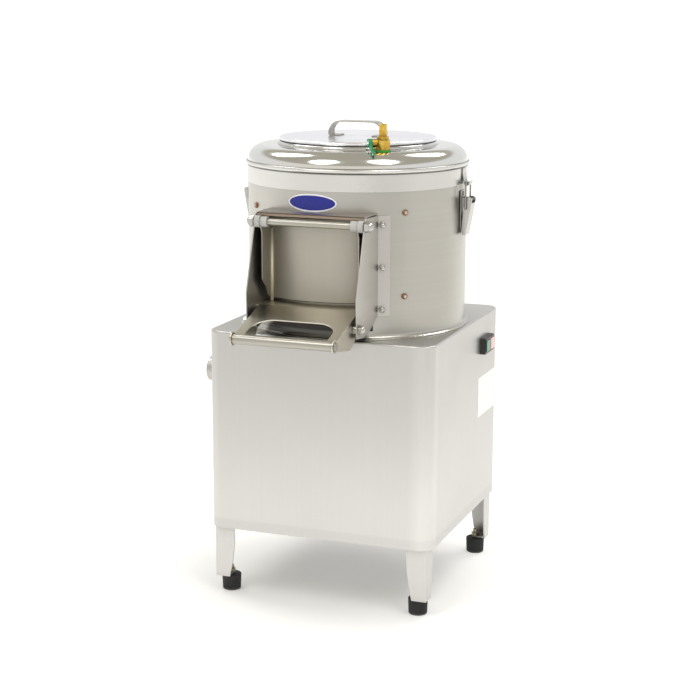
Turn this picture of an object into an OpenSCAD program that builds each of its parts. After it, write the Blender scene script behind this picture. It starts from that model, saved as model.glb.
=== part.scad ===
/* [Cabinet] */
// Width of the cabinet over its side walls
cab_w = 405; // [380:1:460]
// Depth of the cabinet over its front and rear walls
cab_d = 405; // [380:1:460]
// Height of the cabinet walls
cab_h = 350; // [340:1:420]
// Sheet thickness of the cabinet
cab_t = 1.5; // [1:0.1:2]
// Radius of the upright cabinet corners
cab_r = 25; // [15:1:35]
// Radius of the fold round the top plate
fold_r = 3; // [2.5:0.1:4]
// Height of the base pan's upstand
pan_h = 20; // [14:1:30]
// Width of the service opening in the rear wall
service_w = 280; // [200:5:300]
// Height of the service opening in the rear wall
service_h = 250; // [180:5:270]
// Overlap of the rear panel on the wall
panel_lap = 14; // [11:1:20]

/* [Legs and feet] */
// Height of a rubber foot
foot_h = 28; // [20:1:40]
// Radius of a rubber foot
foot_r = 17; // [14:0.5:20]
// Height of a sheet leg
leg_h = 92; // [60:1:110]
// Width of a leg at its top
leg_top_w = 36; // [32:1:44]
// Width of a leg at its foot
leg_foot_w = 26; // [24:1:30]
// Sheet thickness of a leg
leg_t = 2.5; // [2:0.1:3]
// Distance of a leg from the cabinet's faces
leg_inset = 8.5; // [7:0.5:14]

/* [Drum] */
// Outer radius of the drum
drum_r = 190; // [182:1:196]
// Distance of the drum's axis in front of the cabinet's middle
drum_fwd = 7; // [4:1:9]
// Height of the drum above the cabinet
drum_h = 272; // [265:1:300]
// Sheet thickness of the drum
drum_t = 1.5; // [1:0.1:2]
// Height of the rolled foot of the drum
drum_foot_h = 8; // [5:1:12]
// Thickness of the abrasive wall liner
liner_t = 2; // [1.5:0.1:3]
// Height of the liner's lower edge above the cabinet
liner_low = 38; // [36:1:44]
// Height of the abrasive wall liner
liner_h = 192; // [186:1:200]

/* [Peeling disc and drive] */
// Radius of the peeling disc
disc_r = 181; // [170:1:181]
// Height of the disc's underside above the cabinet
disc_low = 30; // [29:1:33]
// Thickness of the cast disc
disc_t = 7; // [6:0.5:9]
// Thickness of the abrasive layer on the disc
grit_t = 4; // [3:0.5:5]
// Number of raised waves on the disc
wave_count = 3; // [2:1:5]
// Height of a wave above the abrasive layer
wave_h = 9; // [6:0.5:10]
// Radius of the drive shaft
shaft_r = 12.5; // [10:0.5:14]
// Outer radius of the ball bearings
bearing_r = 26; // [24:0.5:28]
// Width of a ball bearing
bearing_w = 15; // [12:1:16]
// Outer radius of the driven pulley
big_pulley_r = 95; // [80:1:100]
// Outer radius of the motor pulley
small_pulley_r = 31; // [28:1:36]
// Motor axis to the right of the cabinet's middle
motor_x = 95; // [90:1:100]
// Motor axis behind the cabinet's middle
motor_y = 100; // [95:1:105]
// Radius of the motor frame
motor_r = 56; // [50:1:58]
// Length of the motor below its plate
motor_l = 142; // [120:1:150]

/* [Lid] */
// Height of the skirt round the drum
skirt_h = 29.4; // [27:0.1:34]
// Radius of the rolled bead of the lid ring
bead_r = 4.15; // [3.5:0.05:4.5]
// Sheet thickness of the lid ring
lid_t = 1.2; // [1:0.1:1.5]
// Height from the bead to the neck
dome_h = 30.5; // [27:0.5:34]
// Inner radius of the neck
neck_r = 132.8; // [120:0.1:134]
// Length of the lid handle
handle_l = 100; // [80:1:120]
// Height of the lid handle
handle_h = 26; // [24.5:0.5:34]
// Width of the strap of the lid handle
handle_w = 26; // [18:1:30]

/* [Water valve] */
// Angle of the valve from the front, towards the right
valve_az = 35.6; // [30:0.1:40]
// Distance of the valve from the drum's axis
valve_rr = 155; // [150:1:162]
// Radius of the hose spigot
spigot_r = 6.5; // [6:0.1:8]
// Height of the hose spigot
spigot_h = 20; // [18:1:30]
// Length of the valve's lever
valve_lever_l = 30; // [24:1:34]

/* [Discharge chute] */
// Half the width over the chute's cheeks
cheek_x = 97; // [95:1:104]
// Sheet thickness of the chute
chute_t = 2; // [1.5:0.1:2.5]
// Half the width of the door over its flanges
door_x = 85.6; // [82:0.1:87]
// Sheet thickness of the door
door_t = 1.5; // [1:0.1:2]
// Gap between the drum and the door
door_gap = 13.5; // [12:0.5:15]
// Radius of the door's hinge rod
rod_r = 6; // [5:0.5:7]
// Half the width of the opening in the drum
mouth_x = 75; // [65:1:76]
// Height of the opening in the drum
mouth_h = 120; // [100:1:122]
// Half the width of the discharge lever
lever_x = 88; // [87:0.5:90]
// Slope of the discharge lever when it is down
lever_tilt = 16.8; // [12:0.1:20]
// Radius of the lever's handle bar
bar_r = 8.25; // [7:0.25:9.5]
// Distance of the handle bar from the lever's pivot
bar_reach = 84.5; // [80:0.5:92]

/* [Latches] */
// Distance of a latch's pivot from the drum wall
latch_out = 15.5; // [15:0.1:17]
// Half the width of a latch lever
latch_w = 12; // [11:0.5:14]
// Radius of the bail wire
bail_r = 1.5; // [1.2:0.1:1.8]

/* [Drain and controls] */
// Outer radius of the drain outlet
drain_r = 22.5; // [20:0.5:24]
// Reach of the drain outlet beyond the cabinet
drain_reach = 83; // [60:1:100]
// Distance of the drain outlet below the cabinet's top
drain_drop = 114; // [108:1:124]
// Width of the switch
switch_w = 58; // [50:1:64]
// Height of the switch
switch_h = 30; // [26:1:40]
// Distance that the switch stands out
switch_out = 10; // [7:1:12]
// Radius of the cable entry
cable_r = 4.5; // [3:0.5:5]

/* [Hidden] */
$fn = 96;
FINE = 240;
HEX = 6;
EPS = 1;

// Clearances
seat = 0.05;
run = 0.07;
free = 0.3;

// Colours
STEEL = "gainsboro";
BRIGHT = "whitesmoke";
RUBBER = "#2b2b2c";
BRASS = "goldenrod";

// Heights
cab_z = foot_h + leg_h;
top_z = cab_z + cab_h;
drum_top = top_z + drum_h;
inner_w = cab_w - 2 * cab_t;
inner_d = cab_d - 2 * cab_t;
drum_in = drum_r - drum_t;

// Lid ring and lid
gasket_t = 3.3;
lid_z = drum_top + gasket_t + seat;
bead_z = lid_z + bead_r;
skirt_low = lid_z - skirt_h;
skirt_in = drum_r + free;
skirt_t = 1.5;
lid_r = skirt_in + bead_r;
dome_out = skirt_in + 1.7;
shoulder_r = 28;
dome_slope = 1;
neck_t = 1.2;
neck_bead_r = 4;
dome_top = bead_z + dome_h;
neck_x = neck_r + neck_t;
dome_x = neck_x + 4.5;
shoulder_x = dome_out - shoulder_r;
shoulder_z = bead_z + 1.5;
dome_dx = shoulder_x - dome_x;
dome_dz = shoulder_z - dome_top;
dome_k = shoulder_r + dome_dx * sin(dome_slope) + dome_dz * cos(dome_slope);
dome_r = -(pow(dome_dx, 2) + pow(dome_dz, 2) - pow(shoulder_r, 2)) / (2 * dome_k);
dome_cx = dome_x - dome_r * sin(dome_slope);
dome_cz = dome_top - dome_r * cos(dome_slope);
dome_lean = asin((shoulder_x - dome_cx) / (dome_r - shoulder_r));
neck_bead_z = dome_top + 1;
neck_drip = 13;
disc_lid_z = neck_bead_z + neck_bead_r + free;
rim_r = 3.35;
lid_disc_r = neck_x + 3;
lid_plate_z = disc_lid_z + 2 * rim_r - lid_t;
lid_top = lid_plate_z + lid_t;
plug_r = neck_r - 2.3;
plug_h = 13;
strap_t = 2;
strap_corner = 21.5;
strap_gap = 60;

// Chute
door_r = drum_r + door_gap;
mouth_z = top_z + 65;
rod_z = top_z + 197;
rod_y = -drum_fwd - drum_r - 37;
door_low = mouth_z - 0.5;
door_top = rod_z + 5;
frame_t = 2;
frame_r = drum_r + door_gap - 3.5;
pivot_y = rod_y - 30;
pivot_z = top_z + 34;
pivot_r = 4;
floor_z = mouth_z - 9;
floor_y = pivot_y + 30;
hood_z = rod_z + 15;
hood_front = rod_y + 3;
hood_lip = 3;
cheek_top = rod_z + 10;
cheek_in = cheek_x - chute_t;
cheek_low = pivot_z - 14;
cheek_front = pivot_y - 10;
tab_x = 16;
rod_end = cheek_x + 6;
cap_af = 9.8;
cap_h = 8;
cap_dome = 8;
plate_z = 16.7;
plate_back = 31.2;
bar_drop = 13;
bar_head = 11;
bar_x = lever_x + 1;
cut_r = 35;
cut_x = 36.5;
cut_back = 17.5;
spacer_r = 7;
bolt_ring = 32.4;

// Screws and bolts
liner_az = [44.5, -44.5, 135, -135];
liner_z = [top_z + 71, top_z + 211];
cheek_bolt_z = [top_z + 51, top_z + 121, top_z + 192];
m6 = 3;

// Drive
disc_z = top_z + disc_low;
grit_z = disc_z + disc_t;
floor_t = 2;
stud_r = 8;
wave_r = 40;
pulley_z = top_z - 151;
pulley_w = 22;
groove_d = 9;
belt_top = 6.1;
belt_low = 3.7;
belt_d = 8;
belt_proud = 0.5;
housing_h = 95;
housing_r = bearing_r + 8;
neck_in = 20;
neck_out = 24;
spout_h = 16;
spout_x = -140;
elbow_r = 45;
hose_t = 3;
drain_t = 2;
motor_dx = motor_x;
motor_dy = motor_y + drum_fwd;
belt_d12 = sqrt(pow(motor_dx, 2) + pow(motor_dy, 2));
belt_a = atan2(motor_dy, motor_dx);
belt_g = acos((big_pulley_r - small_pulley_r) / belt_d12);
plate_t = 5;
plate_top = pulley_z - pulley_w / 2 - 11;
rail_w = 30;
rail_t = 3;
rail_y = motor_r + 13;
motor_shaft_r = 9.5;
motor_shaft_in = 30;
fin_count = 28;
fin_d = 4;
fin_w = 3;
cowl_h = 28;
vent_in = 18;
vent_out = 44;
vent_w = 6;

// Latches
pivot_up = drum_top - 52;
wire_out = latch_out - 5;
wire_low = pivot_up - 14;
hook_z = skirt_low + 3.5;
hook_r = 3.6;
hook_t = 1.5;
hook_y = 9;
latch_t = 1.5;
latch_pin_r = 2.5;
ear_y = latch_w - latch_t - 1;
ear_r = 4.1;
boss_r = 5.6;
tip_out = 10.4;
back_z = 5;
wire_y = latch_w + bail_r + free;
tail_l = 60;

// Valve
valve_z = dome_top - 1.6;
seal_h = 3;
seal_r = 13.5;
block_z = valve_z + seal_h;
block_r = 12;
block_h = 22.5;
collar_h = 6;
ball_r = 8;
ball_z = block_z + 12.5;
waterway_r = 4;
stem_r = 3;
stem_l = 26;
tail_r = 6.5;
lever_drop = 31;

// Switch and gland
switch_y = 110;
switch_z = top_z - 54;
button_w = 22;
button_h = 20;
button_out = 1.5;
button_pitch = 26;
gland_x = -120;
gland_af = 12;
gland_out = 16;

// The part stands with the middle of its outline on the origin
left_x = -cab_w / 2 - drain_reach;
right_x = cab_w / 2 + switch_out + button_out;
bar_front = bar_reach * cos(lever_tilt) + bar_drop * sin(lever_tilt) + bar_head;
front_y = pivot_y - bar_front;
rear_y = cab_d / 2 + gland_out;
shift_x = -(left_x + right_x) / 2;
shift_y = -(front_y + rear_y) / 2;

// ---- Shared shapes ----

module placed() {
    translate([shift_x, shift_y, 0]) children();
}

module at_drum() {
    translate([0, -drum_fwd, 0]) children();
}

// Turns what lies towards -Y round the drum's axis, by an angle counted towards +X
module round_drum(az) {
    at_drum() rotate([0, 0, az]) children();
}

module both_sides() {
    children();
    mirror([1, 0, 0]) children();
}

module tube(r_out, r_in, z0, z1) {
    translate([0, 0, z0]) difference() {
        cylinder(r = r_out, h = z1 - z0);
        translate([0, 0, -EPS]) cylinder(r = r_in, h = z1 - z0 + 2 * EPS);
    }
}

module rod_x(r, x0, x1) {
    translate([x0, 0, 0]) rotate([0, 90, 0]) cylinder(r = r, h = x1 - x0);
}

module rod_y_axis(r, y0, y1) {
    translate([0, y0, 0]) rotate([-90, 0, 0]) cylinder(r = r, h = y1 - y0);
}

module box(x0, x1, y0, y1, z0, z1) {
    translate([x0, y0, z0]) cube([x1 - x0, y1 - y0, z1 - z0]);
}

// Plate in the YZ plane from an outline of [y, z] points, between x0 and x1
module side_plate(x0, x1) {
    translate([x0, 0, 0]) rotate([90, 0, 90]) linear_extrude(x1 - x0) children();
}

module rounded_rect(w, d, r) {
    square([w - 2 * r, d], center = true);
    square([w, d - 2 * r], center = true);
    for (x = [-1, 1], y = [-1, 1])
        translate([x * (w / 2 - r), y * (d / 2 - r)]) circle(r);
}

module rounded_block(w, d, r, z0, z1) {
    translate([0, 0, z0]) linear_extrude(z1 - z0) rounded_rect(w, d, r);
}

// Part of a tube round the drum's axis, between two angles counted from the front towards +X
module drum_sector(r_out, r_in, z0, z1, a0, a1) {
    at_drum() rotate([0, 0, a0 - 90]) rotate_extrude(angle = a1 - a0)
        translate([r_in, z0]) square([r_out - r_in, z1 - z0]);
}

module hex_head(r, h) {
    cylinder(r = r, h = h, $fn = HEX);
}

// Domed nut that stands on its base, with a blind hole
module cap_nut(r_hole, depth) {
    difference() {
        union() {
            hex_head(cap_af, cap_h);
            translate([0, 0, cap_h - 2]) intersection() {
                sphere(r = cap_dome);
                cylinder(r = cap_dome, h = cap_dome);
            }
        }
        translate([0, 0, -EPS]) cylinder(r = r_hole, h = depth + EPS);
    }
}

// ---- Cabinet ----

// Upright section from the middle of a wall's corner out to its face, with the fold at its top
module folded_edge() {
    translate([0, cab_z]) square([cab_r, cab_h - fold_r]);
    translate([0, top_z - fold_r]) square([cab_r - fold_r, fold_r]);
    translate([cab_r - fold_r, top_z - fold_r]) intersection() {
        circle(fold_r);
        square(fold_r);
    }
}

// Solid with rounded upright corners and a rounded edge round its top
module folded_block() {
    w = cab_w / 2 - cab_r;
    d = cab_d / 2 - cab_r;
    box(-w, w, -d, d, cab_z, top_z);
    for (s = [0, 1]) {
        mirror([s, 0, 0]) translate([w, d, 0]) rotate([90, 0, 0])
            linear_extrude(2 * d) folded_edge();
        mirror([0, s, 0]) translate([-w, d, 0]) rotate([90, 0, 90])
            linear_extrude(2 * w) folded_edge();
        for (t = [0, 1])
            mirror([s, 0, 0]) mirror([0, t, 0]) translate([w, d, 0])
                rotate_extrude(angle = 90) folded_edge();
    }
}

// Butt seams under the top and along the middle of each upright fold
module panel_seams() {
    z = top_z - fold_r;
    box(-cab_w, cab_w, -cab_d, cab_d, z - seat, z);
    for (x = [0, 1], y = [0, 1])
        mirror([x, 0, 0]) mirror([0, y, 0])
            translate([cab_w / 2 - cab_r, cab_d / 2 - cab_r, 0]) rotate([0, 0, 45])
                box(0, 2 * cab_r, -seat / 2, seat / 2, cab_z - EPS, z);
}

// Five panels of sheet, butted and welded
module cabinet_shell() {
    color(STEEL) difference() {
        folded_block();
        panel_seams();
        rounded_block(inner_w, inner_d, cab_r - cab_t, cab_z - EPS, top_z - cab_t);
        at_drum() translate([0, 0, top_z - 2 * cab_t]) cylinder(r = drum_in - 18, h = 4 * cab_t);
        drain_axis() rod_x(drain_r + free, -cab_t - EPS, cab_t + EPS);
        translate([cab_w / 2 - cab_t / 2, switch_y, switch_z])
            cube([2 * cab_t, switch_w - 4, switch_h - 4], center = true);
        translate([0, cab_d / 2, service_z()])
            cube([service_w, 4 * cab_t, service_h], center = true);
        translate([gland_x, cab_d / 2 - 2 * cab_t, gland_z()]) rod_y_axis(8, 0, 4 * cab_t);
        for (p = panel_points())
            translate([p[0], cab_d / 2 - 2 * cab_t, p[1]]) rod_y_axis(2.2, 0, 4 * cab_t);
    }
}

function service_z() = cab_z + cab_h / 2 + 20;
function gland_z() = (cab_z + pan_h + service_z() - service_h / 2 - panel_lap) / 2;
function panel_points() = [
    for (x = [-1, 1], z = [-1, 0, 1])
        [x * (service_w + panel_lap) / 2, service_z() + z * (service_h + panel_lap) / 2]
];

// Removable service cover with three rows of cooling slots
module rear_panel() {
    w = service_w + 2 * panel_lap;
    h = service_h + 2 * panel_lap;
    slot_n = 7;
    slot_w = 60;
    slot_h = 5;
    slot_pitch = 14;
    color(STEEL) difference() {
        translate([0, cab_d / 2 + cab_t, service_z()]) rotate([90, 0, 0])
            linear_extrude(cab_t) rounded_rect(w, h, 8);
        for (p = panel_points())
            translate([p[0], cab_d / 2 - EPS, p[1]]) rod_y_axis(2.2, 0, 2 * cab_t + 2 * EPS);
        for (x = [-1, 0, 1], i = [0 : slot_n - 1])
            translate([x * 84, cab_d / 2, service_z() + 90 - i * slot_pitch])
                cube([slot_w, 6 * cab_t, slot_h], center = true);
    }
}

module panel_screws() {
    color(BRIGHT) for (p = panel_points())
        translate([p[0], cab_d / 2, p[1]]) {
            rod_y_axis(2, -6, cab_t + seat);
            translate([0, cab_t + seat, 0]) rotate([-90, 0, 0]) cylinder(r1 = 4.2, r2 = 2.6, h = 2.4);
        }
}

// Tray that closes the cabinet from below
module base_pan() {
    w = inner_w - 4 * seat;
    d = inner_d - 4 * seat;
    r = cab_r - cab_t - 2 * seat;
    color(STEEL) difference() {
        rounded_block(w, d, r, cab_z, cab_z + pan_h);
        rounded_block(w - 2 * cab_t, d - 2 * cab_t, r - cab_t, cab_z + cab_t, cab_z + pan_h + EPS);
        for (x = [-1, 1], i = [-2 : 2])
            translate([x * 80, i * 24, cab_z]) cube([90, 8, 4 * cab_t], center = true);
        for (x = [-1, 1], y = [-1, 1])
            translate([x * cab_w / 4, y * cab_d / 3, cab_z - EPS]) cylinder(r = 6, h = 4 * cab_t);
    }
}

// ---- Legs and feet ----

function leg_width(z) =
    let (start = leg_h * 0.78, t = max(0, (start - z) / start))
    leg_top_w - (leg_top_w - leg_foot_w) * pow(t, 1.5);

module leg_side() {
    steps = 8;
    linear_extrude(leg_t) polygon(concat(
        [[0, leg_h], [0, 0]],
        [for (i = [0 : steps]) [leg_width(leg_h * i / steps), leg_h * i / steps]]
    ));
}

module at_corners() {
    for (sx = [1, -1], sy = [1, -1])
        mirror([sx < 0 ? 1 : 0, 0, 0]) mirror([0, sy < 0 ? 1 : 0, 0])
            translate([cab_w / 2 - leg_inset, cab_d / 2 - leg_inset, 0]) children();
}

// Folded angle with tapered sides, a plate for the foot and an open inner side
module legs() {
    color(STEEL) at_corners() translate([0, 0, foot_h]) difference() {
        union() {
            rotate([90, 0, 0]) mirror([1, 0, 0]) leg_side();
            mirror([1, 0, 0]) rotate([0, 0, 90]) rotate([90, 0, 0]) mirror([1, 0, 0]) leg_side();
            translate([1 - leg_foot_w, 1 - leg_foot_w, 0])
                cube([leg_foot_w - 1 - leg_t / 2, leg_foot_w - 1 - leg_t / 2, 3]);
        }
        translate([-foot_in(), -foot_in(), -EPS]) cylinder(r = 4 + seat, h = 6);
    }
}

function foot_in() = foot_r + leg_t + 1;

module rubber_feet() {
    bore = 4 + seat;
    color(RUBBER) at_corners() translate([-foot_in(), -foot_in(), 0]) rotate_extrude()
        polygon([
            [bore, foot_h], [bore, 8], [0, 8], [0, 0], [foot_r - 2.5, 0], [foot_r - 1, 1.5],
            [foot_r, foot_h - 1], [foot_r - 1, foot_h]
        ]);
}

// Stud moulded in the foot, with the nut that holds it in the leg
module foot_studs() {
    color(BRIGHT) at_corners() translate([-foot_in(), -foot_in(), 0]) {
        translate([0, 0, 10]) cylinder(r = 4, h = foot_h + 6);
        translate([0, 0, foot_h + 3 + seat]) hex_head(7.5, 6.5);
    }
}

module cable_gland() {
    color(RUBBER) translate([gland_x, cab_d / 2, gland_z()]) difference() {
        union() {
            rod_y_axis(7.8, -cab_t - 8, 2);
            translate([0, -cab_t - seat, 0]) rotate([90, 0, 0]) hex_head(gland_af, 4);
            translate([0, seat, 0]) rotate([-90, 0, 0]) hex_head(gland_af, 5);
            translate([0, 4, 0]) rotate([-90, 0, 0]) cylinder(r1 = 10.5, r2 = 9, h = gland_out - 4);
        }
        rod_y_axis(cable_r, -cab_t - 9, gland_out + EPS);
    }
}

// ---- Drum ----

// The opening through the front of the drum, grown by a margin
module mouth_box(grow) {
    box(-mouth_x - grow, mouth_x + grow, -drum_fwd - door_r - 20, -drum_fwd - drum_r / 2,
        mouth_z - grow, mouth_z + mouth_h + grow);
}

module drum_shell() {
    flare = 6;
    color(STEEL) difference() {
        at_drum() rotate_extrude($fn = FINE) {
            translate([drum_in, top_z + seat]) square([drum_t, drum_h - seat]);
            difference() {
                translate([drum_r - EPS, top_z + seat]) square([flare + EPS, drum_foot_h]);
                translate([drum_r + drum_foot_h, top_z + drum_foot_h + drum_t / 2])
                    circle(drum_foot_h);
            }
        }
        mouth_box(0);
        liner_holes(m6 + seat);
        cheek_holes();
    }
}

module liner_holes(r) {
    for (az = liner_az, z = liner_z)
        round_drum(az) translate([0, 0, z]) rod_y_axis(r, -drum_r - 10, -drum_r + 10);
}

module cheek_holes() {
    for (s = [-1, 1], z = cheek_bolt_z)
        round_drum(s * bolt_ring) translate([0, 0, z])
            rod_y_axis(m6 + seat, -drum_r - 10, -drum_r + 10);
}

// Floor of the drum, with its central collar hole and the drain spout
module drum_floor() {
    color(STEEL) difference() {
        union() {
            at_drum() translate([0, 0, top_z + seat]) cylinder(r = drum_in - 2 * seat, h = floor_t);
            spout_axis() tube(drain_r - hose_t, drain_r - hose_t - 1.5, top_z - spout_h, top_z + 1);
        }
        at_drum() translate([0, 0, top_z - EPS]) cylinder(r = neck_out + free, h = 4 * floor_t);
        spout_axis() translate([0, 0, top_z - EPS])
            cylinder(r = drain_r - hose_t - 1.5, h = 4 * floor_t);
    }
}

module spout_axis() {
    translate([spout_x, -drum_fwd, 0]) children();
}

module drum_liner() {
    color("dimgray") difference() {
        at_drum() translate([0, 0, top_z + liner_low])
            tube(drum_in - seat, drum_in - seat - liner_t, 0, liner_h, $fn = FINE);
        mouth_box(3);
        liner_holes(m6 + seat);
        for (s = [-1, 1], z = cheek_bolt_z)
            round_drum(s * bolt_ring) translate([0, 0, z]) rod_y_axis(8, -drum_r, 20 - drum_r);
    }
}

// Button-head screws outside, nuts inside
module liner_screws() {
    inner = -drum_in + liner_t + 4 * seat;
    color(BRIGHT) for (az = liner_az, z = liner_z)
        round_drum(az) translate([0, 0, z]) {
            rod_y_axis(m6, -drum_r - 1, inner + 3.6);
            translate([0, -drum_r + 0.2, 0]) intersection() {
                sphere(r = 5.4);
                translate([0, -seat - 0.25, 0]) rotate([90, 0, 0]) cylinder(r = 5.2, h = 3.4);
            }
            translate([0, inner, 0]) rotate([-90, 0, 0]) hex_head(5.4, 3);
        }
}

// ---- Drain ----

module drain_axis() {
    translate([-cab_w / 2, -drum_fwd, top_z - drain_drop]) children();
}

// Rubber hose from the spout under the drum to the outlet
module drain_elbow() {
    r_in = drain_r - hose_t + seat;
    r_out = r_in + hose_t;
    color(RUBBER) {
        translate([spout_x, -drum_fwd, 0])
            tube(r_out, r_in, elbow_top(), top_z - cab_t - 1);
        translate([spout_x - elbow_r, -drum_fwd, elbow_top()]) rotate([90, 0, 0])
            rotate([0, 0, -90]) rotate_extrude(angle = 90) translate([elbow_r, 0]) difference() {
                circle(r_out);
                circle(r_in);
            }
        translate([spout_x - elbow_r, -drum_fwd, top_z - drain_drop]) difference() {
            rod_x(r_out, elbow_end(), 0);
            rod_x(r_in, elbow_end() - EPS, EPS);
        }
    }
}

function elbow_top() = top_z - drain_drop + elbow_r;
function elbow_end() = -cab_w / 2 + cab_t + 1 - spout_x + elbow_r;

module drain_spigot() {
    bore = drain_r - drain_t;
    tail = 16;
    color(STEEL) drain_axis() difference() {
        union() {
            rod_x(drain_r, -drain_reach, -1);
            rod_x(drain_r + 9, -3 - seat, -seat);
            rod_x(drain_r - hose_t, -1, cab_t + tail);
        }
        rod_x(bore - hose_t + 0.5, -drain_reach - EPS, cab_t + tail + EPS);
        rod_x(bore, -drain_reach - EPS, -8);
    }
}

// ---- Peeling disc ----

module peeling_disc() {
    vane_t = 6;
    vane_h = disc_low - floor_t - 6;
    color("silver") at_drum() difference() {
        union() {
            translate([0, 0, disc_z]) cylinder(r = disc_r, h = disc_t, $fn = FINE);
            translate([0, 0, disc_z - 12]) cylinder(r = neck_out + 7, h = 13);
            for (a = [0, 180])
                rotate([0, 0, a])
                    box(neck_out + 6, disc_r - 4, -vane_t / 2, vane_t / 2, disc_z - vane_h, disc_z + 1);
        }
        translate([0, 0, disc_z - 13]) cylinder(r = neck_out + 3, h = 13 - 2);
        translate([0, 0, disc_z - 14]) cylinder(r = shaft_r + seat, h = disc_t + 20);
    }
}

// Abrasive layer with radial waves that toss the potatoes
module disc_grit() {
    inner = 19;
    color("dimgray") at_drum() {
        translate([0, 0, grit_z + seat]) tube(disc_r, inner, 0, grit_t, $fn = FINE);
        for (i = [0 : wave_count - 1])
            rotate([0, 0, 20 + i * 360 / wave_count]) intersection() {
                translate([0, 0, grit_z + grit_t + wave_h - wave_r])
                    rod_x(wave_r, inner + 12, disc_r - 6);
                translate([0, 0, grit_z + 1]) cylinder(r = disc_r - 5, h = 40);
            }
    }
}

module disc_nut() {
    color(BRIGHT) at_drum() difference() {
        union() {
            translate([0, 0, grit_z + seat]) cylinder(r = 17, h = 7);
            translate([0, 0, grit_z + 7]) rotate_extrude()
                polygon([[0, 0], [17, 0], [15, 3.5], [9, 6], [0, 7]]);
        }
        translate([0, 0, grit_z - EPS]) cylinder(r = stud_r + seat, h = 10 + EPS);
    }
}

module drive_shaft() {
    color(BRIGHT) at_drum() {
        translate([0, 0, pulley_z - pulley_w / 2 - 7])
            cylinder(r = shaft_r, h = grit_z - pulley_z + pulley_w / 2 + 7);
        translate([0, 0, grit_z - 1]) cylinder(r = stud_r, h = 10);
        translate([0, 0, pulley_z - pulley_w / 2 - 6.8]) hex_head(17, 6);
    }
}

// Flanged housing bolted under the drum floor, with a neck through it
module bearing_housing() {
    flange_r = 62;
    low = top_z - housing_h;
    color("slategray") at_drum() difference() {
        union() {
            translate([0, 0, low]) cylinder(r = housing_r, h = housing_h - 2);
            translate([0, 0, top_z - 12]) cylinder(r = flange_r, h = 12);
            translate([0, 0, top_z - 2]) cylinder(r = neck_out, h = 18);
            for (a = [0 : 60 : 300])
                rotate([0, 0, a]) box(housing_r - 2, flange_r - 6, -3, 3, top_z - 42, top_z - 10);
        }
        translate([0, 0, low - EPS]) cylinder(r = bearing_r + seat, h = housing_h - 16);
        translate([0, 0, low]) cylinder(r = shaft_r + 4, h = housing_h + 20);
        translate([0, 0, top_z]) cylinder(r = neck_in, h = 20);
    }
}

module ball_bearings() {
    for (z = [top_z - housing_h + 4, top_z - 17 - bearing_w - 1])
        color(BRIGHT) at_drum() translate([0, 0, z]) rotate_extrude() difference() {
            translate([shaft_r + run, 0]) square([bearing_r - shaft_r - run, bearing_w]);
            translate([shaft_r + 4, -EPS]) square([bearing_r - shaft_r - 8, EPS + 1.2]);
            translate([shaft_r + 4, bearing_w - 1.2]) square([bearing_r - shaft_r - 8, EPS + 1.2]);
        }
}

module shaft_seal() {
    color(RUBBER) at_drum() translate([0, 0, top_z + 4]) rotate_extrude() polygon([
        [shaft_r + run, 3], [shaft_r + 2, 0], [neck_in - seat, 0], [neck_in - seat, 10],
        [shaft_r + 4, 10], [shaft_r + 3, 5], [shaft_r + run, 4.4]
    ]);
}

// ---- Belt drive ----

module pulley(r, bore) {
    rotate_extrude() difference() {
        translate([bore, -pulley_w / 2]) square([r - bore, pulley_w]);
        polygon([[r + 1, -6.6], [r - groove_d, -3.6], [r - groove_d, 3.6], [r + 1, 6.6]]);
    }
}

module driven_pulley() {
    web = 6;
    rim = 17;
    color("slategray") at_drum() translate([0, 0, pulley_z]) difference() {
        pulley(big_pulley_r, shaft_r + seat);
        for (s = [-1, 1]) rotate_extrude()
            translate([26, s > 0 ? web / 2 : -pulley_w]) square([big_pulley_r - rim - 26, pulley_w]);
        for (a = [0 : 60 : 300])
            rotate([0, 0, a]) translate([(26 + big_pulley_r - rim) / 2, 0, -web])
                cylinder(r = 15, h = 2 * web);
    }
}

module belt_section(r) {
    polygon([
        [r + belt_proud, -belt_top], [r + belt_proud, belt_top],
        [r + belt_proud - belt_d, belt_low], [r + belt_proud - belt_d, -belt_low]
    ]);
}

// Two arcs on the pulleys joined by their tangents
module v_belt() {
    straight = belt_d12 * sin(belt_g);
    color("#202020") at_drum() translate([0, 0, pulley_z]) {
        rotate([0, 0, belt_a + belt_g]) rotate_extrude(angle = 360 - 2 * belt_g)
            belt_section(big_pulley_r);
        translate([motor_dx, motor_dy, 0]) rotate([0, 0, belt_a - belt_g])
            rotate_extrude(angle = 2 * belt_g) belt_section(small_pulley_r);
        rotate([0, 0, belt_a + belt_g]) rotate([90, 0, 0])
            linear_extrude(straight) belt_section(big_pulley_r);
        rotate([0, 0, belt_a - belt_g]) rotate([90, 0, 0]) translate([0, 0, -straight])
            linear_extrude(straight) belt_section(big_pulley_r);
    }
}

module at_motor() {
    translate([motor_x, motor_y, 0]) children();
}

module motor_pulley() {
    color("slategray") at_motor() translate([0, 0, pulley_z]) pulley(small_pulley_r, motor_shaft_r + seat);
}

module motor_shaft() {
    color(BRIGHT) at_motor() translate([0, 0, plate_top - plate_t - motor_shaft_in])
        cylinder(r = motor_shaft_r,
            h = pulley_z + pulley_w / 2 + 2 - plate_top + plate_t + motor_shaft_in);
}

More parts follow.
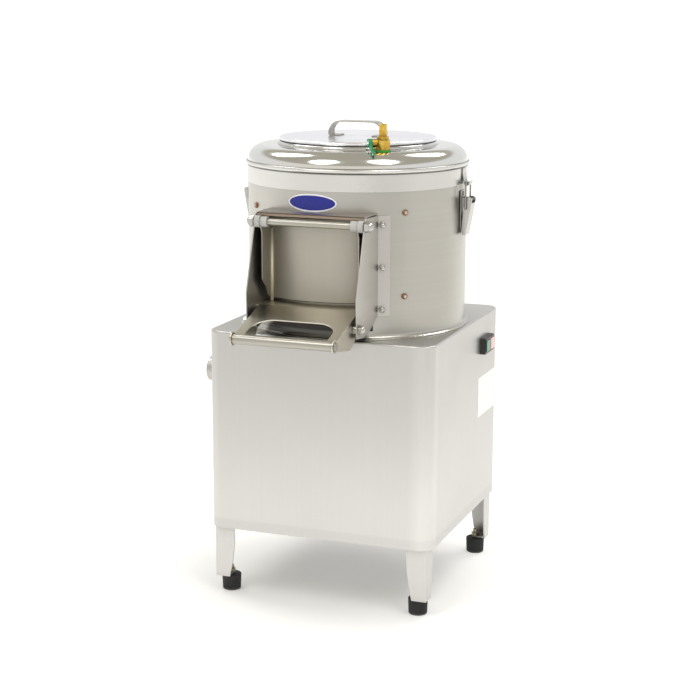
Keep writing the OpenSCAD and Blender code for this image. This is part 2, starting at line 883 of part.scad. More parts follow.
// Ribbed frame, flange, fan cowl and terminal box
module motor_housing() {
    high = plate_top - plate_t - seat;
    low = high - motor_l;
    color("steelblue") at_motor() difference() {
        union() {
            translate([0, 0, high - 8]) cylinder(r = motor_r + 8, h = 8);
            translate([0, 0, low + cowl_h]) linear_extrude(motor_l - cowl_h - 6) {
                circle(motor_r);
                for (i = [0 : fin_count - 1])
                    rotate(i * 360 / fin_count) translate([motor_r - 1, -fin_w / 2])
                        square([fin_d + 1, fin_w]);
            }
            translate([0, 0, low]) cylinder(r = motor_r + 3, h = cowl_h + 1);
            box(motor_r - 6, motor_r + 24, -26, 26, low + 60, low + 112);
        }
        translate([0, 0, high - motor_shaft_in - 1])
            cylinder(r = motor_shaft_r + free, h = motor_shaft_in + cowl_h);
        for (a = [0 : 45 : 315])
            rotate([0, 0, a])
                box(vent_in, vent_out, -vent_w / 2, vent_w / 2, low - EPS, low + vent_w);
    }
}

// Plate on two angle rails across the cabinet
module motor_mount() {
    rail_l = inner_w - 2 * seat;
    color(STEEL) {
        difference() {
            at_motor() translate([0, 0, plate_top - plate_t / 2])
                cube([2 * motor_r + 26, 2 * rail_y + 2 * rail_w - 6, plate_t], center = true);
            at_motor() translate([0, 0, plate_top - 2 * plate_t])
                cylinder(r = motor_shaft_r + 6, h = 4 * plate_t);
        }
        intersection() {
            rounded_block(rail_l, inner_d, cab_r, plate_top - 2 * rail_w, plate_top);
            for (s = [-1, 1]) translate([-rail_l / 2, motor_y, plate_top - plate_t - seat])
                mirror([0, s < 0 ? 1 : 0, 0]) translate([0, rail_y, 0]) {
                    translate([0, 0, -rail_t]) cube([rail_l, rail_w - 4, rail_t]);
                    translate([0, rail_w - 4 - rail_t, -rail_w]) cube([rail_l, rail_t, rail_w]);
                }
        }
    }
}

// ---- Lid ----

// Half section under the dome, drawn in by a margin
module dome_region(g) {
    intersection() {
        translate([dome_cx, dome_cz]) circle(dome_r - g, $fn = 4 * FINE);
        translate([0, drum_top])
            square([shoulder_x + (shoulder_r - g) * sin(dome_lean), 2 * dome_h + 20]);
    }
    translate([shoulder_x, shoulder_z]) circle(shoulder_r - g);
    translate([0, drum_top]) square([dome_out - g, shoulder_z - drum_top]);
}

module dome_solid(g) {
    at_drum() rotate_extrude($fn = 2 * FINE) intersection() {
        dome_region(g);
        square([2 * lid_r, 4 * top_z]);
    }
}

module lid_ring() {
    color(BRIGHT) difference() {
        at_drum() rotate_extrude($fn = FINE) {
            intersection() {
                difference() {
                    dome_region(0);
                    dome_region(lid_t);
                }
                translate([neck_r, bead_z]) square([drum_r, 2 * dome_h]);
            }
            translate([skirt_in, bead_z]) circle(bead_r);
            translate([skirt_in, skirt_low]) square([skirt_t, bead_z - skirt_low]);
            translate([neck_r, neck_bead_z - neck_drip]) square([neck_t, neck_drip]);
            translate([neck_x + 1.2, neck_bead_z]) circle(neck_bead_r);
        }
        at_valve() translate([0, 0, bead_z]) cylinder(r = tail_r + seat, h = 60);
    }
}

module lid_gasket() {
    color(RUBBER) at_drum() translate([0, 0, drum_top + seat])
        tube(drum_r - 0.2, drum_r - 5, 0, gasket_t - 2 * seat, $fn = FINE);
}

// Loading cover that sits in the neck
module lid_disc() {
    color(BRIGHT) at_drum() rotate_extrude($fn = FINE) {
        translate([0, lid_plate_z]) square([lid_disc_r - rim_r, lid_t]);
        translate([lid_disc_r - rim_r, disc_lid_z + rim_r]) circle(rim_r);
        translate([plug_r - lid_t, lid_plate_z - plug_h]) square([lid_t, plug_h + 0.5]);
    }
}

// Side view of the strap, drawn in by a margin
module strap_region(g) {
    half = handle_l / 2;
    low = handle_h - strap_corner;
    intersection() {
        union() {
            for (s = [-1, 1])
                translate([s * (half - strap_corner), low]) circle(strap_corner - g);
            translate([strap_corner - half, low]) square([handle_l - 2 * strap_corner, strap_corner - g]);
        }
        translate([-half, low - 0.5]) square([handle_l, handle_h]);
    }
    for (s = [-1, 1])
        translate([s * (half - low), low]) circle(low - g);
    translate([low - half, g]) square([handle_l - 2 * low, low]);
}

module lid_handle() {
    color(BRIGHT) at_drum() translate([0, handle_w / 2, lid_top + seat]) rotate([90, 0, 0])
        linear_extrude(handle_w) difference() {
            strap_region(0);
            strap_region(strap_t);
            translate([-strap_gap / 2, -EPS]) square([strap_gap, strap_t + 2 * EPS]);
        }
}

// ---- Latches: drawn on the right, with x counted from the drum wall ----

module at_latch() {
    translate([drum_r, -drum_fwd, 0]) children();
}

module latch_plate(y0, y1) {
    translate([0, y1, 0]) rotate([90, 0, 0]) linear_extrude(y1 - y0) children();
}

// Hook on the lid's skirt, with a throat for the bail
module keeper() {
    x0 = skirt_in - drum_r + skirt_t + seat;
    high = bead_z - bead_r - 2;
    bend_z = hook_z + 16.5;
    latch_plate(-hook_y, hook_y) polygon([
        [wire_out - hook_r - hook_t, hook_z], [x0, bend_z], [x0, high], [x0 + hook_t, high],
        [x0 + hook_t, bend_z], [wire_out - hook_r, hook_z]
    ]);
    translate([wire_out, 0, hook_z]) rotate([90, 0, 0]) rotate([0, 0, 180])
        rotate_extrude(angle = 180) translate([hook_r, -hook_y]) square([hook_t, 2 * hook_y]);
    box(wire_out + hook_r, wire_out + hook_r + hook_t, -hook_y, hook_y, hook_z, hook_z + 3);
}

module latch_keepers() {
    color(BRIGHT) both_sides() at_latch() keeper();
}

module latch_base() {
    foot = seat + 0.7;
    low = pivot_up - 46;
    difference() {
        union() {
            box(foot, foot + latch_t, -latch_w - 1, latch_w + 1, low, pivot_up + 16);
            for (s = [-1, 1]) latch_plate(s * ear_y - latch_t / 2, s * ear_y + latch_t / 2) {
                translate([latch_out, pivot_up]) circle(ear_r);
                polygon([
                    [foot, pivot_up + ear_r], [latch_out, pivot_up + ear_r],
                    [latch_out + 2.6, pivot_up - 3.4],
                    [foot + 1, pivot_up - 16], [foot, pivot_up - 16]
                ]);
            }
            translate([latch_out, 0, pivot_up]) rod_y_axis(latch_pin_r, -latch_w, latch_w);
        }
        at_rivets() rod_x(2 + seat, -EPS, 10);
    }
}

module at_rivets() {
    for (z = [pivot_up + 10.5, pivot_up - 34]) translate([0, 0, z]) children();
}

module latch_bases() {
    color(STEEL) both_sides() at_latch() {
        latch_base();
        at_rivets() {
            rod_x(2, seat, latch_t + 1);
            rod_x(3.6, latch_t + seat + 0.8, latch_t + 2.2);
        }
    }
}

// Channel with tapered flanges, pivoted on the base's pin
module latch_lever() {
    head = latch_out + boss_r - 0.1;
    tip_z = pivot_up - tail_l;
    side_y = latch_w - latch_t / 2;
    back_x = head - (head - tip_out) * (back_z - 1) / (tail_l - 1);
    difference() {
        union() {
            for (s = [-1, 1])
                latch_plate(s * side_y - latch_t / 2, s * side_y + latch_t / 2) {
                    translate([latch_out, pivot_up]) circle(boss_r);
                    polygon([
                        [latch_out - 2.5, pivot_up + 5], [head, pivot_up - 1], [tip_out, tip_z],
                        [4, tip_z + 1], [4, pivot_up - 36], [6.5, pivot_up - 18], [8, pivot_up - 2]
                    ]);
                }
            latch_plate(-side_y, side_y) polygon([
                [back_x, pivot_up - back_z], [tip_out, tip_z], [tip_out - latch_t, tip_z],
                [back_x - latch_t, pivot_up - back_z]
            ]);
        }
        translate([latch_out, 0, pivot_up]) rod_y_axis(latch_pin_r + run, -30, 30);
        translate([wire_out, 0, wire_low]) rod_y_axis(bail_r + run, -30, 30);
    }
}

module latch_lever_left() {
    color(BRIGHT) mirror([1, 0, 0]) at_latch() latch_lever();
}

module latch_lever_right() {
    color(BRIGHT) at_latch() latch_lever();
}

// Wire loop from the lever to the hook
module latch_bail() {
    translate([wire_out, 0, 0]) {
        for (s = [-1, 1]) {
            translate([0, s * wire_y, wire_low]) cylinder(r = bail_r, h = hook_z - wire_low);
            for (z = [wire_low, hook_z]) translate([0, s * wire_y, z]) sphere(r = bail_r);
        }
        translate([0, 0, hook_z]) rod_y_axis(bail_r, -wire_y, wire_y);
        translate([0, 0, wire_low]) {
            rod_y_axis(bail_r, -wire_y, 0.6 - latch_w + latch_t - 1);
            rod_y_axis(bail_r, latch_w - latch_t + 0.4, wire_y);
        }
    }
}

module latch_bail_left() {
    color(BRIGHT) mirror([1, 0, 0]) at_latch() latch_bail();
}

module latch_bail_right() {
    color(BRIGHT) at_latch() latch_bail();
}

// ---- Water valve ----

// On the dome, with -Y pointing away from the drum's axis
module at_valve() {
    round_drum(valve_az) translate([0, -valve_rr, 0]) children();
}

module valve_body() {
    spigot_z = block_z + block_h;
    color(BRASS) difference() {
        at_valve() {
            translate([0, 0, valve_z - 14]) cylinder(r = tail_r, h = 16 + seal_h);
            translate([0, 0, block_z]) cylinder(r = block_r, h = block_h - collar_h);
            translate([0, 0, spigot_z - collar_h - 1]) hex_head(10.5, collar_h + 1);
            translate([0, 0, spigot_z - 1]) cylinder(r = spigot_r, h = spigot_h + 1);
            translate([0, 0, ball_z]) rod_x(6, -block_r - 7, 0);
            translate([0, 0, valve_z - 13]) hex_head(11, 5);
        }
        at_valve() {
            translate([0, 0, valve_z - 20]) cylinder(r = waterway_r, h = 80);
            translate([0, 0, ball_z]) {
                sphere(r = ball_r + free);
                rod_x(stem_r + run, -block_r - 10, 0);
            }
        }
    }
}

// Green sealing ring, shaped to the dome
module valve_seal() {
    color("seagreen") difference() {
        at_valve() translate([0, 0, valve_z - 6]) tube(seal_r, tail_r + seat, 0, 6 + seal_h - seat);
        dome_solid(-seat);
    }
}

module valve_ball() {
    color(BRIGHT) at_valve() translate([0, 0, ball_z]) difference() {
        union() {
            sphere(r = ball_r);
            rod_x(stem_r, -stem_l, 0);
        }
        rod_y_axis(waterway_r, -20, 20);
    }
}

// Lever that hangs outwards over the dome
module valve_lever() {
    x0 = -stem_l;
    x1 = -block_r - 7 - free;
    color("seagreen") at_valve() translate([0, 0, ball_z]) rotate([lever_drop, 0, 0]) difference() {
        union() {
            rod_x(6.5, x0, x1);
            box(x0 + 1, x0 + 4, -valve_lever_l, 0, -4, 4);
            translate([0, -valve_lever_l, 0]) rod_x(4, x0 + 1, x0 + 4);
        }
        rod_x(stem_r + seat, x0 - EPS, x1 + EPS);
    }
}

// ---- Discharge chute ----

module cheek_outline() {
    polygon([
        [-drum_fwd - drum_r * 0.8, cheek_top], [hood_front - 2, cheek_top + 3], [cheek_front, mouth_z + 18],
        [cheek_front + 2, cheek_low], [floor_y - 5, cheek_low - 4], [floor_y + 24, cheek_low + 3],
        [-drum_fwd - drum_r * 0.88, mouth_z - 25], [-drum_fwd - drum_r * 0.8, mouth_z - 20]
    ]);
}

// Folded cheek: a side plate and a flange that lies on the drum
module cheek() {
    a0 = asin((cheek_in + 1) / drum_r);
    a1 = asin((cheek_x + tab_x) / drum_r);
    difference() {
        union() {
            difference() {
                side_plate(cheek_in, cheek_x) cheek_outline();
                at_drum() translate([0, 0, top_z]) cylinder(r = drum_r + seat, h = drum_h, $fn = FINE);
            }
            drum_sector(drum_r + seat + chute_t, drum_r + seat, mouth_z - 25, cheek_top, a0, a1);
        }
        translate([0, rod_y, rod_z]) rod_x(rod_r + seat, cheek_in - 5, cheek_x + 5);
        translate([0, pivot_y, pivot_z]) rod_x(pivot_r + seat, cheek_in - 5, cheek_x + 5);
        cheek_holes();
    }
}

module chute_cheek_left() {
    color(STEEL) mirror([1, 0, 0]) cheek();
}

module chute_cheek_right() {
    color(STEEL) cheek();
}

// Cover over the rod, with a turned-down front lip
module chute_hood() {
    half = cheek_in - seat;
    color(STEEL) difference() {
        union() {
            box(-half, half, hood_front, -drum_fwd - drum_r / 2, hood_z - chute_t, hood_z);
            box(-half, half, hood_front, hood_front + chute_t, hood_z - chute_t - hood_lip, hood_z);
        }
        at_drum() translate([0, 0, top_z]) cylinder(r = drum_r + seat, h = drum_h, $fn = FINE);
    }
}

// Sill from the opening to the lever, with folded sides
module chute_floor() {
    half = cheek_in - seat;
    color(STEEL) difference() {
        union() {
            box(-half, half, floor_y, -drum_fwd - drum_r / 2, floor_z, floor_z + door_t);
            for (s = [-1, 1])
                box(s > 0 ? half - door_t : -half, s > 0 ? half : door_t - half,
                    floor_y + 14, -drum_fwd - drum_r / 2, floor_z - 12, floor_z + door_t);
        }
        at_drum() translate([0, 0, top_z]) cylinder(r = drum_r + seat, h = drum_h, $fn = FINE);
    }
}

// Bolts through the flanges and the drum wall, with domed nuts outside
module cheek_bolts() {
    face = drum_r + 2 * seat + chute_t;
    color(BRIGHT) for (s = [-1, 1], z = cheek_bolt_z)
        round_drum(s * bolt_ring) translate([0, 0, z]) {
            rod_y_axis(m6, -face - 3, -drum_in + 4);
            translate([0, -face, 0]) rotate([90, 0, 0]) {
                hex_head(5.8, 3.6);
                translate([0, 0, 3.4]) intersection() {
                    sphere(r = 4.6);
                    cylinder(r = 4.6, h = 5);
                }
            }
            translate([0, -drum_in + 3 * seat, 0]) rotate([-90, 0, 0]) hex_head(5.8, 3.8);
        }
}

module hinge_rod() {
    color(BRIGHT) translate([0, rod_y, rod_z]) rod_x(rod_r, -rod_end, rod_end);
}

// Domed nuts on the rod's ends and on the lever's pivot bolts
module cap_nuts() {
    color(BRIGHT) both_sides() {
        translate([cheek_x + seat, rod_y, rod_z]) rotate([0, 90, 0]) cap_nut(rod_r + seat, 7);
        translate([cheek_x + seat, pivot_y, pivot_z]) rotate([0, 90, 0])
            scale(0.82) cap_nut((pivot_r + seat) / 0.82, 9);
    }
}

// Washers between the door and the cheeks, and bushes inside the door
module nylon_bushes() {
    color("white") both_sides() translate([0, rod_y, rod_z]) difference() {
        union() {
            rod_x(10, door_x + free, cheek_in - seat);
            rod_x(8.8, door_x - door_t - 11, door_x - door_t - free);
        }
        rod_x(rod_r + seat, door_x - 30, cheek_x);
    }
}

// Curved flap with two flanges that hang on the rod, trimmed to swing clear of the lever's plate
module chute_door() {
    edge_y = pivot_y + plate_back * cos(lever_tilt) - plate_z * sin(lever_tilt) - rod_y;
    edge_z = pivot_z + plate_back * sin(lever_tilt) + plate_z * cos(lever_tilt) - rod_z;
    sweep_r = sqrt(pow(edge_y, 2) + pow(edge_z, 2)) - 1;
    r_out = door_r + door_t;
    head = 8.5;
    back = -drum_fwd - sqrt(pow(door_r, 2) - pow(door_x, 2));
    a = asin((door_x - door_t / 2) / r_out);
    color(STEEL) difference() {
        union() {
            drum_sector(r_out, door_r, door_low, door_top, -a, a);
            both_sides() side_plate(door_x - door_t, door_x) {
                translate([rod_y, rod_z]) circle(head);
                polygon([
                    [back, door_low], [back - 15, door_low + 5], [back - 24, door_low + 20],
                    [rod_y + 1, door_low + 36], [rod_y + 1, rod_z - 20], [rod_y - 5, rod_z - 6],
                    [rod_y, rod_z + head - 0.5], [back, door_top]
                ]);
            }
        }
        translate([0, rod_y, rod_z]) {
            rod_x(rod_r + run, -2 * cheek_x, 2 * cheek_x);
            difference() {
                rod_x(sweep_r + 30, -cheek_x, cheek_x);
                rod_x(sweep_r, -cheek_x - EPS, cheek_x + EPS);
            }
        }
    }
}

// Frame round the opening, between a radius and another
module mouth_rim(r0, r1) {
    difference() {
        intersection() {
            mouth_box(frame_t);
            at_drum() translate([0, 0, top_z]) cylinder(r = r1, h = drum_h, $fn = FINE);
        }
        mouth_box(0);
        at_drum() translate([0, 0, top_z - EPS]) cylinder(r = r0, h = drum_h + 2 * EPS, $fn = FINE);
    }
}

module mouth_frame() {
    color(STEEL) mouth_rim(drum_r + seat, frame_r);
}

module mouth_seal() {
    color(RUBBER) mouth_rim(frame_r + seat, door_r - free);
}

// ---- Discharge lever: drawn level, then tilted about its pivot ----

module at_lever() {
    translate([0, pivot_y, pivot_z]) rotate([lever_tilt, 0, 0]) children();
}

module lever_flange() {
    side_plate(lever_x - chute_t, lever_x) {
        polygon([
            [plate_back, plate_z], [plate_back, plate_z - 5], [12, -12], [-4, -24], [-24, -26],
            [-43, -17], [-bar_reach + 3, bar_drop - 10.6], [-bar_reach + 3, plate_z]
        ]);
        translate([-bar_reach, bar_drop]) circle(bar_head);
    }
}

// Plate with a rounded cut-out behind the bar
module lever_plate() {
    front = -bar_reach;
    cut_y = -cut_back - cut_r;
    color(STEEL) at_lever() difference() {
        union() {
            translate([0, 0, plate_z - chute_t]) linear_extrude(chute_t) difference() {
                translate([-lever_x, front]) square([2 * lever_x, plate_back - front]);
                for (s = [-1, 1]) translate([s * cut_x, cut_y]) circle(cut_r);
                translate([-cut_x, cut_y]) square([2 * cut_x, cut_r]);
                translate([-cut_x - cut_r, front - EPS]) square([2 * (cut_x + cut_r), cut_y - front + EPS]);
            }
            both_sides() lever_flange();
        }
        translate([0, -bar_reach, bar_drop]) rod_x(bar_r + seat, -2 * lever_x, 2 * lever_x);
        rod_x(pivot_r + run, -2 * lever_x, 2 * lever_x);
    }
}

// Tube with rounded plugs in its ends
module handle_bar() {
    color(BRIGHT) at_lever() translate([0, -bar_reach, bar_drop]) {
        rod_x(bar_r, -bar_x, bar_x);
        for (s = [-1, 1]) translate([s * bar_x, 0, 0]) intersection() {
            sphere(r = bar_r * 0.8);
            rod_x(bar_r, -2, 2);
        }
    }
}

// Shouldered bolts from the lever's flanges through the cheeks
module pivot_bolts() {
    color(BRIGHT) both_sides() translate([0, pivot_y, pivot_z]) {
        rod_x(pivot_r, lever_x - chute_t - 2, cheek_x + 7);
        rod_x(spacer_r, lever_x + free, cheek_in - seat);
        translate([lever_x - chute_t - free - 5, 0, 0]) rotate([0, 90, 0]) hex_head(7.5, 5);
    }
}

// ---- Switch ----

module at_switch() {
    translate([cab_w / 2, switch_y, switch_z]) rotate([90, 0, 90]) children();
}

module button_shape(grow) {
    rounded_rect(button_w + 2 * grow, button_h + 2 * grow, 2);
}

module switch_housing() {
    color("#1c1c1e") at_switch() difference() {
        union() {
            translate([0, 0, seat]) linear_extrude(switch_out - 1.5) rounded_rect(switch_w, switch_h, 4);
            linear_extrude(switch_out) rounded_rect(switch_w - 3, switch_h - 3, 3);
            translate([0, 0, -26]) linear_extrude(27) square([switch_w - 5, switch_h - 5], center = true);
        }
        for (s = [-1, 1]) translate([s * button_pitch / 2, 0, 2])
            linear_extrude(switch_out) button_shape(free);
    }
}

module button(side) {
    at_switch() translate([side * button_pitch / 2, 0, 6]) linear_extrude(switch_out + button_out - 6)
        button_shape(0);
}

module start_button() {
    color("green") button(-1);
}

module stop_button() {
    color("red") button(1);
}

placed() cabinet_shell();
placed() rear_panel();
placed() panel_screws();
placed() base_pan();
placed() legs();
placed() rubber_feet();
placed() foot_studs();
placed() cable_gland();
placed() drum_shell();
placed() drum_floor();
placed() drum_liner();
placed() liner_screws();
placed() drain_elbow();
placed() drain_spigot();
placed() peeling_disc();
placed() disc_grit();
placed() disc_nut();
placed() drive_shaft();
placed() bearing_housing();
placed() ball_bearings();
placed() shaft_seal();
placed() driven_pulley();
placed() v_belt();
placed() motor_pulley();
placed() motor_shaft();
placed() motor_housing();
placed() motor_mount();
placed() lid_ring();
placed() lid_gasket();
placed() lid_disc();
placed() lid_handle();
placed() latch_keepers();
placed() latch_bases();
placed() latch_lever_left();
placed() latch_lever_right();
placed() latch_bail_left();
placed() latch_bail_right();
placed() valve_body();
placed() valve_seal();
placed() valve_ball();
placed() valve_lever();
placed() chute_cheek_left();
placed() chute_cheek_right();
placed() chute_hood();
placed() chute_floor();
placed() cheek_bolts();
placed() hinge_rod();
placed() cap_nuts();
placed() nylon_bushes();
placed() chute_door();
placed() mouth_frame();
placed() mouth_seal();
placed() lever_plate();
placed() handle_bar();
placed() pivot_bolts();
placed() switch_housing();
placed() start_button();
placed() stop_button();
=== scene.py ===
"""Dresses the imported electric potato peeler: finishes, small fittings, studio and camera."""

import math

import bmesh
import bpy
from mathutils import Matrix, Vector


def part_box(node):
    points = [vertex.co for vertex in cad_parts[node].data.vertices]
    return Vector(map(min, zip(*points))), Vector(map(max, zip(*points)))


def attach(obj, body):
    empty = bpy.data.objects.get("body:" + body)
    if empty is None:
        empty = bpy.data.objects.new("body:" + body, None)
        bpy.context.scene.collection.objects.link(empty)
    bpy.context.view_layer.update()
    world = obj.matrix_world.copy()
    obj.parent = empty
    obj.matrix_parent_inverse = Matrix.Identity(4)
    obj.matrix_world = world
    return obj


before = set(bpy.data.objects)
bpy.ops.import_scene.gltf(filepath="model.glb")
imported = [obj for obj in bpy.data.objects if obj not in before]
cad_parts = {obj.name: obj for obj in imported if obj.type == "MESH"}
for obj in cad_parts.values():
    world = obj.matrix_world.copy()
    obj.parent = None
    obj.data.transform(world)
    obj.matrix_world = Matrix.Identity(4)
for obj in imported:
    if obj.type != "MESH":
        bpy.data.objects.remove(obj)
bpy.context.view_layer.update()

bl_info = {
    "name": "Electric potato peeler",
    "version": (1, 0, 0),
    "blender": (4, 5, 0),
    "location": "View3D > Sidebar > Peeler",
    "description": "Finishes and small fittings of an electric potato peeler, with its studio",
    "category": "Object",
}

# Upright axis of the drum, lid and disc, and the drum's outside
DRUM_X = 0.03575
DRUM_Y = 0.0635755
DRUM_RADIUS = 0.190
# Outside of the cabinet's right wall
CABINET_RIGHT = 0.23825
# Heights on the cabinet for painted light and shade: its darker lowest band, the stretch over which its
# tone changes, and its lighter top sheet
WALL_FOOT = (0.134, 0.141)
WALL_RISE = (0.16, 0.45)
TOP_SHEET = (0.4690, 0.4699)
# Rounded front right corner of the cabinet: where its painted highlight starts and ends, back from the
# corner
CORNER_PAINTED_HIGHLIGHT = (0.044, 0.014)
# Painted shade on the drum's foot below the chute: its middle, the reach of the shade, and how much
# flatter than wide it is
CHUTE_FOOT = (0.021, -0.13, 0.472)
CHUTE_FOOT_REACH = (0.088, 0.104)
CHUTE_FOOT_FLATNESS = 2.6
# Lid ring: heights where its skirt ends, of the lines of painted shade under and over its bead,
# and where its polished dome starts
SKIRT_END = (0.7445, 0.7465)
BEAD_FOOT = 0.7454
BEAD_TOP = 0.7532
DOME_FOOT = (0.7525, 0.7545)
# Screws that hold the wall liner: angles from the front towards the right, heights, place of
# their faces, and the radius, wall and depth of their sockets
LINER_SCREW_ANGLES = (44.5, -44.5, 135.0, -135.0)
LINER_SCREW_HEIGHTS = (0.541, 0.681)
SCREW_FACE_REACH = DRUM_RADIUS + 0.00366
SOCKET_RADIUS = 0.0026
SOCKET_WALL = 0.0009
SOCKET_DEPTH = 0.0001
# Door: radius of its face; its folds: heights, radius, and how far they lie inwards and proud
DOOR_FACE_RADIUS = 0.2050
FOLD_LOW = 0.5285
FOLD_TOP = 0.652
FOLD_RADIUS = 0.0028
FOLD_INSET = 0.0026
FOLD_PROUD = 0.0008
# Lip of the hood: height, thickness, rounding, how much narrower than the hood it is, and where
# its painted shade along the upper edge starts and ends, down from the hood's top
LIP_DROP = 0.0058
LIP_THICKNESS = 0.0008
LIP_ROUNDING = 0.0003
LIP_MARGIN = 0.001
LIP_SHADE = (0.0024, 0.0014)
# Near-black apron of painted shade under the sill: heights, half angle, thickness and rounding of its
# rim
APRON_LOW = 0.4845
APRON_TOP = 0.5135
APRON_HALF_ANGLE = math.radians(28.0)
APRON_THICKNESS = 0.0012
APRON_ROUNDING = 0.0004
# Gap between a thin piece and the sheet under it
SHEET_GAP = 0.0001
# Badge: width of its rim, thickness of its face and rim, and gap to the drum
BADGE_RIM = 0.0026
BADGE_FACE_THICKNESS = 0.0007
BADGE_RIM_THICKNESS = 0.0011
BADGE_LIFT = 0.00012
# Label: rounding of its corners, thickness, and gap to the wall
LABEL_CORNER = 0.003
LABEL_THICKNESS = 0.00022
LABEL_LIFT = 0.00004
# Grain of sheets, as scales along X, Y and Z: the lowest one lies along the scratches; and the
# depth of a fine grain
UPRIGHT_GRAIN = (1400.0, 1400.0, 11.0)
LEVEL_GRAIN = (12.0, 900.0, 900.0)
CHEEK_GRAIN = (260.0, 9.0, 900.0)
FINE_DEPTH = 0.000005
# Half the width of the studio floor
FLOOR_REACH = 30.0
# Softboxes: place, width and depth of each, their height, and what they aim at
SOFTBOXES = (
    (-1.5, 0.4, 1.0, 1.2),
    (-0.7, -1.7, 1.15, 1.35),
    (1.35, -0.9, 1.05, 1.35),
    (0.9, 1.5, 1.0, 1.1),
)
SOFTBOX_HEIGHT = 2.6
SOFTBOX_AIM = Vector((0.0, 0.0, 0.6))
# Camera: place, and its turns about the upright, level and view axes
CAMERA_PLACE = (1.04635, -2.69682, 1.0452)
CAMERA_YAW = math.radians(20.35)
CAMERA_PITCH = math.radians(12.16)
CAMERA_ROLL = math.radians(0.19)
QUARTER_TURN = math.radians(90.0)


# ---- Settings that a user would change ----

# What colours have in common, and what lengths have
COLOUR = {"subtype": "COLOR", "size": 3, "min": 0.0, "max": 1.0}
LENGTH = {"subtype": "DISTANCE", "unit": "LENGTH"}


class PeelerSteel(bpy.types.PropertyGroup):
    """Tones and polish of the stainless steel"""

    sheet_tone: bpy.props.FloatVectorProperty(
        name="Sheet tone",
        description="Colour of the cabinet's brushed sheet",
        default=(0.618, 0.609, 0.592),
        **COLOUR,
    )
    drum_tone: bpy.props.FloatVectorProperty(
        name="Drum tone",
        description="Colour of the drum's rolled sheet",
        default=(0.545, 0.530, 0.497),
        **COLOUR,
    )
    polish_tone: bpy.props.FloatVectorProperty(
        name="Polish tone",
        description="Colour of the polished lid ring",
        default=(0.74, 0.735, 0.71),
        **COLOUR,
    )
    sheet_roughness: bpy.props.FloatProperty(
        name="Sheet roughness",
        description="Roughness of the cabinet's brushed sheet",
        default=0.36,
        subtype="FACTOR",
        min=0.05,
        max=1.0,
    )
    edge_radius: bpy.props.FloatProperty(
        name="Edge radius",
        description="Radius of the rounding that catches light along the cabinet's cut edges",
        default=0.0012,
        min=0.0,
        max=0.003,
        **LENGTH,
    )


class PeelerBadge(bpy.types.PropertyGroup):
    """Blank oval badge on the front of the drum"""

    width: bpy.props.FloatProperty(
        name="Width",
        description="Width of the badge along the drum",
        default=0.088,
        min=0.04,
        max=0.12,
        **LENGTH,
    )
    height: bpy.props.FloatProperty(
        name="Height",
        description="Height of the badge",
        default=0.030,
        min=0.015,
        max=0.05,
        **LENGTH,
    )
    angle: bpy.props.FloatProperty(
        name="Angle",
        description="Angle of the badge's middle from the front, towards the right",
        default=math.radians(-3.4),
        subtype="ANGLE",
        unit="ROTATION",
    )
    centre_height: bpy.props.FloatProperty(
        name="Height above the floor",
        description="Height of the badge's middle",
        default=0.6965,
        **LENGTH,
    )
    face_colour: bpy.props.FloatVectorProperty(
        name="Face colour",
        description="Colour of the enamel face",
        default=(0.004, 0.012, 0.28),
        **COLOUR,
    )


class PeelerLabel(bpy.types.PropertyGroup):
    """Blank label on the right wall"""

    front: bpy.props.FloatProperty(
        name="Front edge",
        description="Place of the label's front edge",
        default=0.1425,
        **LENGTH,
    )
    width: bpy.props.FloatProperty(
        name="Width",
        description="Width of the label",
        default=0.106,
        min=0.04,
        max=0.2,
        **LENGTH,
    )
    low: bpy.props.FloatProperty(
        name="Lower edge",
        description="Height of the label's lower edge",
        default=0.2865,
        **LENGTH,
    )
    height: bpy.props.FloatProperty(
        name="Height",
        description="Height of the label",
        default=0.0725,
        min=0.03,
        max=0.15,
        **LENGTH,
    )


class PeelerStudio(bpy.types.PropertyGroup):
    """Light and surroundings"""

    surround: bpy.props.FloatProperty(
        name="Surround",
        description="Brightness of the pale surroundings",
        default=1.0,
        min=0.0,
        max=5.0,
    )
    ceiling_tone: bpy.props.FloatVectorProperty(
        name="Ceiling tone",
        description="Colour of the ceiling between the softboxes",
        default=(0.47, 0.45, 0.38),
        **COLOUR,
    )
    softbox_power: bpy.props.FloatProperty(
        name="Softbox power",
        description="Power of one softbox",
        default=14.4,
        subtype="POWER",
        unit="POWER",
        min=0.0,
    )
    lens: bpy.props.FloatProperty(
        name="Lens",
        description="Focal length of the camera",
        default=86.83,
        subtype="DISTANCE_CAMERA",
        unit="CAMERA",
        min=20.0,
        max=200.0,
    )


# ---- Shader node helpers ----


def put(tree, kind, place, **settings):
    """A node of that kind at (column, row), with its properties set."""
    node = tree.nodes.new(kind)
    node.location = (place[0] * 200, place[1] * -170)
    for name, value in settings.items():
        setattr(node, name, value)
    return node


def join(tree, value, socket):
    """Links an output, or sets a plain value, on a socket."""
    if value is None:
        return
    if isinstance(value, bpy.types.NodeSocket):
        tree.links.new(value, socket)
    else:
        socket.default_value = value


def math_node(tree, place, operation, first, second=None):
    """The result of one operation on numbers."""
    node = put(tree, "ShaderNodeMath", place, operation=operation)
    join(tree, first, node.inputs[0])
    join(tree, second, node.inputs[1])
    return node.outputs[0]


def product(tree, place, *values):
    """All values multiplied, by a row of nodes."""
    total = values[0]
    for step, value in enumerate(values[1:]):
        total = math_node(tree, (place[0] + step, place[1]), "MULTIPLY", total, value)
    return total


def vector_node(tree, place, operation, first, second=None):
    """The result of one operation on vectors; the second value of a scale is its factor."""
    node = put(tree, "ShaderNodeVectorMath", place, operation=operation)
    join(tree, first, node.inputs[0])
    join(tree, second, node.inputs["Scale" if operation == "SCALE" else 1])
    gives_number = operation in ("DOT_PRODUCT", "LENGTH", "DISTANCE")
    return node.outputs["Value" if gives_number else "Vector"]


